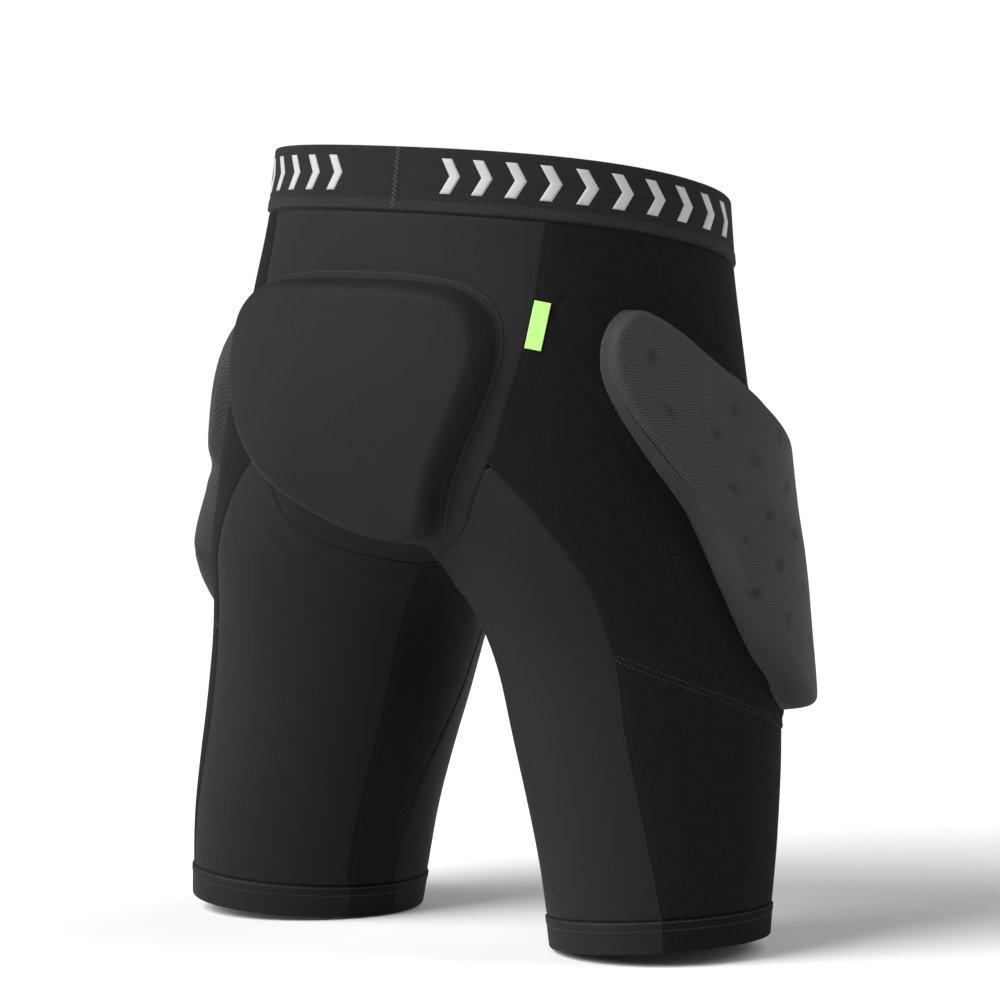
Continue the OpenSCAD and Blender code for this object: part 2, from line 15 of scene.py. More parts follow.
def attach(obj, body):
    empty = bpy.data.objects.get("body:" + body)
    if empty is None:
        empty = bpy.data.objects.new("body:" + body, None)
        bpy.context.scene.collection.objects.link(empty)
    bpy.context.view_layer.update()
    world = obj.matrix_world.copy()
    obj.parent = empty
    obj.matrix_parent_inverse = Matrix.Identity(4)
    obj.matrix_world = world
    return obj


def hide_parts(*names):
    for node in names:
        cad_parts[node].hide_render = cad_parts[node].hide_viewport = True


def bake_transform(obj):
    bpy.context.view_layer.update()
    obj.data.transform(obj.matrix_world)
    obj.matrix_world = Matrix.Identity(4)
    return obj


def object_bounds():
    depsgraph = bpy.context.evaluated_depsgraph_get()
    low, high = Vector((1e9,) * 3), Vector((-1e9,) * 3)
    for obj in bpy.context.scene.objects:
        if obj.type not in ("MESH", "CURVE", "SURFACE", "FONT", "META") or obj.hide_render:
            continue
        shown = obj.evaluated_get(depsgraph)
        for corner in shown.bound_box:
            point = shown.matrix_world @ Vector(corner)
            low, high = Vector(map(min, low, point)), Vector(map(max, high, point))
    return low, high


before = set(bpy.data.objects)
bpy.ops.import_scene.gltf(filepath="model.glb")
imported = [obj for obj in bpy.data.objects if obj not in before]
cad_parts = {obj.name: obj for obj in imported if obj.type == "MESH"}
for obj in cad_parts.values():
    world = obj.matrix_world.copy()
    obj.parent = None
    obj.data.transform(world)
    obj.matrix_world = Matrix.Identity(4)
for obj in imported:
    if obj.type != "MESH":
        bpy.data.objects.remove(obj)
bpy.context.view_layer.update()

MM = 0.001
LEFT, RIGHT = 1, -1
SIDES = ((LEFT, "left"), (RIGHT, "right"))

# ---- The body surface, as in the CAD source ----

RISE = 470
WAIST = 430
CROTCH = 230
HEM = 20
STATIONS = np.array([
    [0, 146, 69, 70, 72, 29],
    [60, 141, 75, 75, 77, 25],
    [135, 127, 83, 83, 85, 18],
    [190, 114, 88, 88, 92, 15],
    [230, 98, 98, 94, 104, 14],
    [260, 76, 113, 100, 116, 12],
    [295, 48, 137, 104, 124, 10],
    [335, 24, 155, 107, 126, 7],
    [380, 9, 161, 109, 122, 3],
    [425, 0, 162, 109, 116, 0],
    [470, 0, 157, 108, 111, -1.5],
], float)
VALLEY, FULLNESS, SHEAR, HEM_SLOPE = 40, 0.16, 0.08, 0.07
WAIST_SLOPE, WAIST_CURL = 0.27, 0.0005


def slopes():
    s = STATIONS
    made = np.empty((len(s), 5))
    made[1:-1] = (s[2:, 1:] - s[:-2, 1:]) / (s[2:, :1] - s[:-2, :1])
    made[0] = (s[1, 1:] - s[0, 1:]) / (s[1, 0] - s[0, 0])
    made[-1] = (s[-1, 1:] - s[-2, 1:]) / (s[-1, 0] - s[-2, 0])
    return made


SLOPES = slopes()


def smooth(t):
    t = np.clip(t, 0, 1)
    return t * t * (3 - 2 * t)


def section(h):
    """Middle, half width, depth in front, depth behind and fore-aft place at height h."""
    h = np.asarray(h, float)
    k = np.clip(np.searchsorted(STATIONS[:, 0], h, side="right") - 1, 0, len(STATIONS) - 2)
    span = STATIONS[k + 1, 0] - STATIONS[k, 0]
    t = ((h - STATIONS[k, 0]) / span)[..., None]
    span = span[..., None]
    low, high = STATIONS[k, 1:], STATIONS[k + 1, 1:]
    made = (2 * t**3 - 3 * t**2 + 1) * low + (t**3 - 2 * t**2 + t) * span * SLOPES[k]
    made += (3 * t**2 - 2 * t**3) * high + (t**3 - t**2) * span * SLOPES[k + 1]
    return [made[..., i] for i in range(5)]


def centre_angle(h):
    """The angle at which a half meets the centre plane."""
    middle, half = section(h)[:2]
    return np.where(np.asarray(h) > CROTCH, np.degrees(np.arccos(np.clip(middle / half, -1, 1))), 0)


def lift(h, y):
    return smooth((h - 250) / 200) * (WAIST_SLOPE * y - WAIST_CURL * y * y)


def skin(angle, h):
    """Points of the left half's surface."""
    angle, h = np.broadcast_arrays(np.asarray(angle, float), np.asarray(h, float))
    middle, half, front, back, place = section(h)
    middle = np.where(h > CROTCH, np.minimum(middle, half), middle)
    turn = np.radians(angle)
    x = middle - half * np.cos(turn)
    plain = np.sin(turn)
    width = VALLEY * smooth((h - CROTCH) / 60)
    edge = np.clip((width - middle) / half, -1, 1)
    depth_there = np.sqrt(np.clip(1 - edge * edge, 1e-9, 1))
    slope = -edge / (half * np.maximum(0.01, depth_there))
    valley = depth_there + slope * (x * x - width * width) / (2 * np.maximum(width, 1e-3))
    inside = (h > CROTCH) & (x < width) & (width > 1e-3)
    depth = np.where(inside, np.sign(plain) * valley, plain)
    fuller = 1 + FULLNESS * smooth((h - 150) / 100) * np.clip(1 - depth * depth, 0, 1)
    y = place - np.where(depth > 0, front * depth, back * depth * fuller)
    x = x + SHEAR * (1 - smooth(h / 135)) * (y - place)
    z = h + lift(h, y) + HEM_SLOPE * (1 - smooth(h / 200)) * (x - middle) - RISE
    return np.stack([x, y, z], -1)


def unit(v):
    return v / np.maximum(np.linalg.norm(v, axis=-1, keepdims=True), 1e-9)


def skin_normal(angle, h):
    angle, h = np.asarray(angle, float), np.asarray(h, float)
    across = skin(angle + 0.1, h) - skin(angle - 0.1, h)
    up = skin(angle, h + 0.5) - skin(angle, h - 0.5)
    return unit(np.cross(across, up))


def body_normal(angle, h, side):
    return skin_normal(angle, h) * np.array([side, 1, 1])


def on_body(angle, h, side=LEFT, out=0.0):
    """Points at a distance outside the surface."""
    points = skin(angle, h) + np.asarray(out, float)[..., None] * skin_normal(angle, h)
    return points * np.array([side, 1, 1])


# ---- Seam lines and pad outlines, as in the CAD source ----

SEAT_LINE = [(226.5, WAIST), (232, 370), (243, 318), (249.8, 299),
             (258.5, 281), (273.5, 258), (301, 240), (332, 229)]
FRONT_LINE = [(360 - a, h) for a, h in SEAT_LINE]
REAR_LINE = [(249.8, 299), (240.7, 268), (236.2, 232), (237, 184)]
FORE_LINE = [(110.2, 299), (115, 255), (119, 195), (120, 118)]
OUTER_REAR = [(237, 184), (238.6, 140), (237.3, 95), (234.8, 54), (231.6, HEM)]
OUTER_FORE = [(120, 118), (121, 92), (122, 66), (123, 40), (125, HEM)]
GUSSET_REAR = [(332, 229), (332, 160), (332, 85), (333, HEM)]
GUSSET_FORE = [(28, 229), (19, 150), (3, 85), (-3, HEM)]
BRANCH = 3
SEAM_SAG = 5
HIP_OUTLINE = [(214.8, 350), (213, 370), (206.5, 382), (197, 372), (186, 352), (168, 328),
               (148, 306), (131, 282), (119, 252), (114, 218), (117, 182), (128, 154),
               (143, 141), (157, 147), (170, 166), (181, 190), (189, 226), (194.5, 266),
               (204.5, 300), (212, 328)]
HIP_MIDDLE = (164, 250)
HIP_POCKET = [(225.5, 374), (222, 390), (214, 398), (203.5, 394), (192, 382), (180.5, 367),
              (164, 348), (144, 327), (124, 298), (112, 262), (107, 222), (110, 180),
              (123, 147), (143, 134), (157, 144), (169, 159), (186.5, 176), (198, 193),
              (203, 210), (203.8, 232), (203.5, 256), (206.5, 279), (211, 307), (216.5, 332),
              (222, 349)]
TAIL_OUTLINE = [(-20, 249), (14, 255), (46, 267), (74, 282), (97, 301), (115, 324), (126, 350),
                (122, 373), (98, 386), (58, 390), (10, 391), (-34, 391), (-66, 387.5),
                (-86, 376), (-92, 355), (-85, 329), (-73, 304), (-62, 281), (-54, 262),
                (-42, 251.5)]
TAIL_MIDDLE = (12, 325)
FABRIC = 1.2
ELASTIC = 2.2
TAIL_FOAM, HIP_FOAM = 18, 21
PAD_BASE = FABRIC + 1


def curve(points, per=12, closed=False):
    """The Catmull-Rom curve through the points, per chords between two of them."""
    p = np.array(points, float)
    if closed:
        p = np.vstack([p[-1:], p, p[:2]])
    else:
        p = np.vstack([2 * p[0] - p[1], p, 2 * p[-1] - p[-2]])
    made = []
    for k in range(1, len(p) - 2):
        u = (np.arange(per) / per)[:, None]
        a, b, c, d = p[k - 1:k + 3]
        made.append(0.5 * (2 * b + (c - a) * u + (2 * a - 5 * b + 4 * c - d) * u**2
                           + (3 * b - a - 3 * c + d) * u**3))
    if not closed:
        made.append(p[-2:-1])
    return np.vstack(made)


def joined(*lines):
    """Curves end to end; each keeps its own corner."""
    parts = [curve(lines[0])] + [curve(line)[1:] for line in lines[1:]]
    return np.vstack(parts)


def upright(place, side):
    """The left hip pad and its pocket stand more upright than the right ones."""
    if side == RIGHT:
        return place
    angle, h = place[..., 0], place[..., 1]
    lean = np.clip(0.25 * (282 - h), -26, 16)
    return np.stack([angle + lean, h + 10 * smooth((250 - h) / 80)], -1)


def lengths(points):
    """Distance along a polyline at each of its points."""
    return np.concatenate([[0], np.cumsum(np.linalg.norm(np.diff(points, axis=0), axis=1))])


def at_share(places, t):
    """Places along a line on the body at shares t of its length."""
    run = lengths(on_body(places[:, 0], places[:, 1]))
    s = np.asarray(t) * run[-1]
    return np.stack([np.interp(s, run, places[:, 0]), np.interp(s, run, places[:, 1])], -1)


def away(points, line):
    """Distance of each point from a line of points, and the nearest one's number."""
    flat = points.reshape(-1, points.shape[-1])
    found, which = np.empty(len(flat)), np.empty(len(flat), int)
    for start in range(0, len(flat), 4000):
        gap = np.linalg.norm(flat[start:start + 4000, None] - line[None], axis=-1)
        found[start:start + 4000] = gap.min(1)
        which[start:start + 4000] = gap.argmin(1)
    return found.reshape(points.shape[:-1]), which.reshape(points.shape[:-1])


def ripple(points, size, seed, count=7):
    """Smooth uneven waves of about that size, from -1 to 1, over points in space."""
    rng = np.random.default_rng(seed)
    directions = unit(rng.normal(size=(count, 3)))
    rates = 2 * math.pi / (size * rng.uniform(0.7, 1.5, count))
    phases = rng.uniform(0, 2 * math.pi, count)
    waves = np.sin((points @ directions.T) * rates + phases)
    return waves.sum(-1) / count


# ---- Meshes ----

def make_mesh(name, points, faces, uvs, materials, face_material=None, shares=None):
    """An object from points in millimetres, faces, and a place in the cloth per corner."""
    mesh = bpy.data.meshes.new(name)
    mesh.vertices.add(len(points))
    mesh.vertices.foreach_set("co", (np.asarray(points) * MM).astype(np.float32).ravel())
    corners = np.concatenate([f.ravel() for f in faces])
    sizes = np.concatenate([np.full(len(f), f.shape[1]) for f in faces])
    starts = np.concatenate([[0], np.cumsum(sizes)[:-1]])
    mesh.loops.add(len(corners))
    mesh.loops.foreach_set("vertex_index", corners.astype(np.int32))
    mesh.polygons.add(len(sizes))
    mesh.polygons.foreach_set("loop_start", starts.astype(np.int32))
    mesh.polygons.foreach_set("use_smooth", np.ones(len(sizes), bool))
    for material in materials:
        mesh.materials.append(material)
    if face_material is not None:
        mesh.polygons.foreach_set("material_index", np.asarray(face_material, np.int32))
    layer = mesh.uv_layers.new(name="cloth")
    flat = np.concatenate([u.reshape(-1, 2) for u in uvs]) * MM
    layer.data.foreach_set("uv", flat.astype(np.float32).ravel())
    for key, values in (shares or {}).items():
        attribute = mesh.attributes.new(key, "FLOAT", "POINT")
        attribute.data.foreach_set("value", np.asarray(values, np.float32).ravel())
    mesh.update(calc_edges=True)
    mesh.validate()
    made = bpy.data.objects.new(name, mesh)
    bpy.context.scene.collection.objects.link(made)
    return made


def grid_faces(rows, columns, first=0, wrap=False):
    """Corner numbers of a grid's quads, and the same in rows and unwrapped columns."""
    spans = columns if wrap else columns - 1
    i, j = np.meshgrid(np.arange(rows - 1), np.arange(spans), indexing="ij")
    i, j = i.ravel(), j.ravel()
    corners = [(i, j), (i, j + 1), (i + 1, j + 1), (i + 1, j)]
    numbers = np.stack([first + a * columns + b % columns for a, b in corners], -1)
    return numbers, np.stack([np.stack([a, b], -1) for a, b in corners], -2)


def volume(points, faces):
    total = 0.0
    for f in faces:
        for k in range(1, f.shape[1] - 1):
            a, b, c = points[f[:, 0]], points[f[:, k]], points[f[:, k + 1]]
            total += (a * np.cross(b, c)).sum()
    return total


def outward(points, faces, uvs):
    if volume(points, faces) >= 0:
        return faces, uvs
    return [f[:, ::-1] for f in faces], [u[:, ::-1] for u in uvs]


def sheet_parts(outer, inner, wrap=False):
    """A closed sheet between two grids: points, faces, and each corner's row and column."""
    rows, columns = outer.shape[:2]
    count = rows * columns
    points = np.concatenate([outer.reshape(-1, 3), inner.reshape(-1, 3)])
    top, place = grid_faces(rows, columns, 0, wrap)
    under = top[:, ::-1] + count
    place_under = place[:, ::-1]
    faces, places = [top, under], [place, place_under]

    def rim(a, b, at):
        faces.append(np.stack([b, a, a + count, b + count], -1))
        places.append(np.stack([at[1], at[0], at[0], at[1]], -2))

    spans = columns if wrap else columns - 1
    j = np.arange(spans)
    for row, turned in ((0, False), (rows - 1, True)):
        a, b = row * columns + j, row * columns + (j + 1) % columns
        at = [np.stack([np.full(spans, row), j + k], -1) for k in (0, 1)]
        if turned:
            rim(b, a, at[::-1])
        else:
            rim(a, b, at)
    if not wrap:
        i = np.arange(rows - 1)
        for column, turned in ((0, True), (columns - 1, False)):
            a, b = i * columns + column, (i + 1) * columns + column
            at = [np.stack([i + k, np.full(rows - 1, column)], -1) for k in (0, 1)]
            if turned:
                rim(b, a, at[::-1])
            else:
                rim(a, b, at)
    return points, faces, places


def cloth(name, outer, inner, uv, materials, wrap=False, shares=None, column_material=None):
    """A closed sheet as an object. uv has one column more if it wraps."""
    points, faces, places = sheet_parts(outer, inner, wrap)
    uvs = [uv[p[..., 0], p[..., 1]] for p in places]
    chosen = None
    if column_material is not None:
        chosen = np.concatenate([column_material[p[:, :, 1].min(1)] for p in places])
    faces, uvs = outward(points, faces, uvs)
    twice = {k: np.concatenate([v.ravel(), v.ravel()]) for k, v in (shares or {}).items()}
    return make_mesh(name, points, faces, uvs, materials, chosen, twice)


def dome(name, middle, rings, under_middle, under, uv_middle, uv, materials, shares=None):
    """A closed form from rings of points round a middle point, with an underside."""
    count, n = rings.shape[:2]
    points = np.concatenate([rings.reshape(-1, 3), under.reshape(-1, 3),
                             [middle], [under_middle]])
    total = count * n
    top, place = grid_faces(count, n, 0, True)
    j = np.arange(n)
    faces = [top, top[:, ::-1] + total]
    uv_all = np.concatenate([uv, uv[:, :1]], axis=1)
    uvs = [uv_all[place[..., 0], place[..., 1]], uv_all[place[:, ::-1, 0], place[:, ::-1, 1]]]
    last = (count - 1) * n
    a, b = last + j, last + (j + 1) % n
    faces.append(np.stack([a, b, b + total, a + total], -1))
    edge = [uv_all[-1, j], uv_all[-1, j + 1]]
    uvs.append(np.stack([edge[0], edge[1], edge[1], edge[0]], -2))
    hub = 2 * total
    ends = [uv_all[0, j], uv_all[0, j + 1]]
    centre = np.broadcast_to(uv_middle, (n, 2))
    faces.append(np.stack([np.full(n, hub), j, (j + 1) % n][::-1], -1))
    uvs.append(np.stack([centre, ends[0], ends[1]][::-1], -2))
    faces.append(np.stack([np.full(n, hub + 1), total + j, total + (j + 1) % n], -1))
    uvs.append(np.stack([centre, ends[0], ends[1]], -2))
    faces, uvs = outward(points, faces, uvs)
    doubled = None
    if shares:
        doubled = {k: np.concatenate([v.ravel(), v.ravel(), [v[0].mean()] * 2])
                   for k, v in shares.items()}
    return make_mesh(name, points, faces, uvs, materials, None, doubled)


def tube_parts(spine, ups, radius, sides=8, closed=False):
    """Points, faces and cloth places of a round tube along a spine."""
    n = len(spine)
    step = np.roll(spine, -1, 0) - np.roll(spine, 1, 0)
    if not closed:
        step[0], step[-1] = spine[1] - spine[0], spine[-1] - spine[-2]
    along = unit(step)
    across = unit(np.cross(along, ups))
    up = np.cross(across, along)
    radius = np.broadcast_to(np.asarray(radius, float), (n,)).copy()
    turn = np.arange(sides) * 2 * math.pi / sides
    ring = np.cos(turn)[None, :, None] * across[:, None] + np.sin(turn)[None, :, None] * up[:, None]
    points = (spine[:, None] + radius[:, None, None] * ring).reshape(-1, 3)
    run = np.concatenate([lengths(spine), [0]])
    if closed:
        run[n] = run[n - 1] + np.linalg.norm(spine[0] - spine[-1])
    rows = n + 1 if closed else n
    numbers, place = grid_faces(rows, sides, 0, True)
    numbers = numbers % (n * sides)
    uv = np.stack([run[place[..., 0]], place[..., 1] * radius.mean() * 0.8], -1)
    faces, uvs = [numbers], [uv]
    if not closed:
        ends = [np.arange(sides)[None, ::-1], ((n - 1) * sides + np.arange(sides))[None, :]]
        faces += ends
        uvs += [np.zeros((1, sides, 2)), np.zeros((1, sides, 2))]
    faces, uvs = outward(points, faces, uvs)
    return points, faces, uvs


def gathered(name, parts, material):
    """One object from several sets of points and faces."""
    points, faces, uvs, first = [], [], [], 0
    for p, f, u in parts:
        points.append(p)
        faces += [x + first for x in f]
        uvs += list(u)
        first += len(p)
    return make_mesh(name, np.concatenate(points), faces, uvs, [material])


# Rings of a stitch: the place along it and its thickness, both as shares
STITCH_RINGS = ((-0.36, 0.7), (0, 1), (0.36, 0.7))
STITCH_SIDES = 6


def stitch_parts(spine, ups, length, gap, radius, closed=False):
    """A row of separate stitches along a spine."""
    line = np.vstack([spine, spine[:1]]) if closed else spine
    over = np.vstack([ups, ups[:1]]) if closed else ups
    run = lengths(line)
    count = max(1, int(run[-1] / (length + gap)))
    middles = (np.arange(count) + 0.5) * run[-1] / count

    def at(values, s):
        return np.stack([np.interp(s, run, values[:, k]) for k in range(3)], -1)

    centre, normal = at(line, middles), unit(at(over, middles))
    ahead = np.minimum(middles + 0.5, run[-1])
    along = unit(at(line, ahead) - at(line, np.maximum(middles - 0.5, 0)))
    across = unit(np.cross(along, normal))
    sides, shape = STITCH_SIDES, []
    for x, r in STITCH_RINGS:
        for t in np.arange(sides) * 2 * math.pi / sides:
            shape.append((x * length, r * radius * math.cos(t), r * radius * math.sin(t)))
    shape += [(-0.5 * length, 0, 0), (0.5 * length, 0, 0)]
    shape = np.array(shape)
    last_ring, first_tip, last_tip = 2 * sides, len(shape) - 2, len(shape) - 1
    points = (centre[:, None] + shape[None, :, :1] * along[:, None]
              + shape[None, :, 1:2] * across[:, None] + shape[None, :, 2:] * normal[:, None])
    quads, _ = grid_faces(len(STITCH_RINGS), sides, 0, True)
    j, following = np.arange(sides), np.arange(1, sides + 1) % sides
    caps = np.concatenate([
        np.stack([np.full(sides, first_tip), j, following], -1)[:, ::-1],
        np.stack([np.full(sides, last_tip), last_ring + j, last_ring + following], -1)])
    if volume(shape, [quads, caps]) < 0:
        quads, caps = quads[:, ::-1], caps[:, ::-1]
    shift = (np.arange(count) * len(shape))[:, None, None]
    all_quads = (quads[None] + shift).reshape(-1, 4)
    all_caps = (caps[None] + shift).reshape(-1, 3)
    flat = points.reshape(-1, 3)
    place = np.stack([np.tile(shape[:, 0], count), np.tile(shape[:, 1], count)], -1)
    place[:, 0] += np.repeat(middles, len(shape))
    return flat, [all_quads, all_caps], [place[all_quads], place[all_caps]]


# ---- Relief of the cloth ----

# Soft folds on the rear: [angle, height] lines, side (0 for both), height, width
FOLDS = [
    ([(300, 262), (312, 250), (326, 243)], 0, 1.6, 4.5),
    ([(318, 266), (330, 256), (342, 250)], 0, 1.3, 4.0),
    ([(296, 236), (312, 222), (330, 214)], 0, 1.1, 5.0),
    ([(268, 262), (280, 248), (294, 240)], LEFT, 0.9, 4.0),
    ([(262, 252), (274, 240), (288, 232)], LEFT, 0.8, 4.0),
    ([(30, 236), (48, 246), (70, 252)], 0, 1.2, 6.0),
    ([(28, 252), (48, 262), (66, 268)], 0, 1.0, 6.0),
]
HIP_EDGES = {side: upright(curve(HIP_OUTLINE, 10, True), side) for side, _ in SIDES}
POCKET_EDGES = {side: upright(curve(HIP_POCKET, 10, True), side) for side, _ in SIDES}


def relief(angle, h, side):
    """How far the cloth stands off the plain surface, in millimetres."""
    points = skin(angle, h)
    made = 0.22 * ripple(points, 70, 3 + side) + 0.10 * ripple(points, 24, 13 + side)
    wrapped = np.mod(angle, 360)
    for line, which, tall, wide in FOLDS:
        if which not in (0, side):
            continue
        path = curve(line, 10)
        fold = skin(path[:, 0], path[:, 1])
        near = (np.abs(h - path[:, 1].mean()) < 60) & (np.abs(wrapped - path[:, 0].mean()) < 60)
        if not near.any():
            continue
        gap, which_point = away(points[near], fold)
        fade = np.sin(math.pi * (which_point + 1) / (len(path) + 1))
        made[near] += tall * fade * np.exp(-(gap / wide) ** 2)
    return made


FOOT_RISE, FOOT_REACH = 1.6, 9
DRAW_IN, DRAW_REACH = 1.1, 1.6
SWELL, SWELL_PLACE, SWELL_REACH = 0.55, 4.5, 2.8


def hip_relief(points, side):
    """The side panel rises to the pad's foot and is drawn in along the pocket's stitches."""
    gap, _ = away(points, skin(*HIP_EDGES[side].T))
    made = FOOT_RISE * np.exp(-gap / FOOT_REACH)
    gap, which = away(points, skin(*POCKET_EDGES[side].T))
    pucker = 0.75 + 0.25 * np.sin(which * 1.9)
    made -= DRAW_IN * pucker * np.exp(-(gap / DRAW_REACH) ** 2)
    made += SWELL * np.exp(-((gap - SWELL_PLACE) / SWELL_REACH) ** 2)
    return made


TUCK, TUCK_REACH = 0.95, 1.15
GATHER, GATHER_WAVE, GATHER_PITCH, GATHER_REACH = 0.16, 0.10, 1.15, 4.5


def tuck(gap, along):
    """The cloth turns in at a seam, with small gathers beside it."""
    made = -TUCK * np.exp(-(gap / TUCK_REACH) ** 2)
    gather = GATHER + GATHER_WAVE * np.sin(along / GATHER_PITCH)
    return made - gather * np.exp(-gap / GATHER_REACH)


# ---- Panels ----

SEAM_EDGE = np.array([0, 0.35, 0.8, 1.4, 2.4, 4.0])
SEAM_INSET = 0.30
SPACING = 2.6


def crowded(length, count):
    """Shares from 0 to 1 that crowd together at both ends."""
    length = np.atleast_1d(np.asarray(length, float))[:, None]
    edge = SEAM_EDGE * np.minimum(1, 0.42 * length / SEAM_EDGE[-1])
    low = (SEAM_INSET * np.minimum(1, length / 4) + edge) / length
    t = np.linspace(0, 1, count)[1:-1]
    middle = low[:, -1:] + (1 - 2 * low[:, -1:]) * t
    return np.concatenate([low, middle, 1 - low[:, ::-1]], 1)


def panel_places(near, far, top_dip=0, low_dip=0, start=0.0, top_gap=SEAM_INSET,
                 low_gap=SEAM_INSET):
    """The angle and height of each point of a panel's grid, with distances to its edges."""
    run = lengths(on_body(near[:, 0], near[:, 1]))[-1]
    run = max(run, lengths(on_body(far[:, 0], far[:, 1]))[-1])
    shares = crowded(run, int(run / SPACING))[0]
    shares = start + (1 - start) * (shares - shares[0]) / (shares[-1] - shares[0])
    a, b = at_share(near, shares), at_share(far, shares)
    steps = np.linspace(0, 1, 25)
    lines = a[:, None] + steps[None, :, None] * (b - a)[:, None]
    spans = np.linalg.norm(np.diff(skin(lines[..., 0], lines[..., 1]), axis=1), axis=-1)
    widths = spans.sum(1)
    s = crowded(widths, int(widths.max() / SPACING))
    place = a[:, None] + s[..., None] * (b - a)[:, None]
    t = shares[:, None]
    dip = 4 * s * (1 - s) * (top_dip * (1 - t) ** 2 + low_dip * t**2)
    h = place[..., 1] - dip
    h[0] -= top_gap
    h[-1] += low_gap
    side_gap = np.minimum(s, 1 - s) * widths[:, None]
    end_gap = np.minimum(t - start, 1 - t) * run + 0 * s
    gap = np.minimum(side_gap, end_gap)
    along = np.where(side_gap < end_gap, t * run, s * widths[:, None])
    return place[..., 0], h, gap, along


def cloth_place(angle, h):
    """Where a point lies in the flat cloth: millimetres round the body and up it."""
    _, half, front, back, _ = section(h)
    across = np.radians(angle - 180) * (half + (front + back) / 2) / 2
    return np.stack([across, h], -1)


def panel(name, side, near, far, materials, mound=False, **shape):
    angle, h, gap, along = panel_places(near, far, **shape)
    out = relief(angle, h, side) + tuck(gap, along)
    if mound:
        out = out + hip_relief(skin(angle, h), side)
    outer = on_body(angle, h, side, FABRIC + out)
    inner = on_body(angle, h, side, out)
    # The edge share lightens the cloth's colour near its seams: painted highlight.
    edge = np.exp(-gap / 3)
    return cloth(name, outer, inner, cloth_place(angle, h), materials, shares={"edge": edge})


def centre_panel(name, line, behind, materials):
    """A panel that crosses the centre plane."""
    run = lengths(on_body(line[:, 0], line[:, 1]))[-1]
    shares = crowded(run, int(run / SPACING))[0]
    shares = (shares - shares[0]) / (shares[-1] - shares[0])
    edge = at_share(line, shares)
    level = np.maximum(CROTCH + 1.0, edge[:, 1] + 1.6 * shares)
    meet = centre_angle(level)
    middle = np.stack([360 - meet if behind else meet, level], -1)
    steps = np.linspace(0, 1, 25)
    lines = edge[:, None] + steps[None, :, None] * (middle - edge)[:, None]
    widths = np.linalg.norm(np.diff(skin(lines[..., 0], lines[..., 1]), axis=1), axis=-1).sum(1)
    s = crowded(2 * widths, 2 * int(widths.max() / SPACING) + 1)
    half = s.shape[1] // 2
    s = np.minimum(1, 2 * s[:, :half + 1])
    s[:, -1] = 1
    place = edge[:, None] + s[..., None] * (middle - edge)[:, None]
    angle, h = place[..., 0], place[..., 1].copy()
    h[0] -= SEAM_INSET
    side_gap = s * widths[:, None]
    end_gap = np.minimum(shares[:, None], 1 - shares[:, None]) * run + 0 * s
    gap = np.minimum(side_gap, end_gap)
    along = np.where(side_gap < end_gap, shares[:, None] * run, s * widths[:, None])
    # The edge share lightens the cloth's colour near its seams: painted highlight.
    grids, share = [], np.exp(-gap / 3)
    for thick in (FABRIC, 0):
        halves = []
        for side in (RIGHT, LEFT):
            out = relief(angle, h, side)
            fade = smooth((1 - s) * widths[:, None] / 12)
            even = (relief(angle, h, RIGHT) + relief(angle, h, LEFT)) / 2
            out = even + (out - even) * fade + tuck(gap, along)
            points = on_body(angle, h, side, thick + out)
            points[:, -1, 0] = 0
            halves.append(points)
        grids.append(np.concatenate([halves[0], halves[1][:, -2::-1]], axis=1))
    share = np.concatenate([share, share[:, -2::-1]], axis=1)
    heights = np.concatenate([h, h[:, -2::-1]], axis=1)
    uv = np.stack([grids[0][..., 0], heights], -1)
    return cloth(name, grids[0], grids[1], uv, materials, shares={"edge": share})


# ---- Materials ----

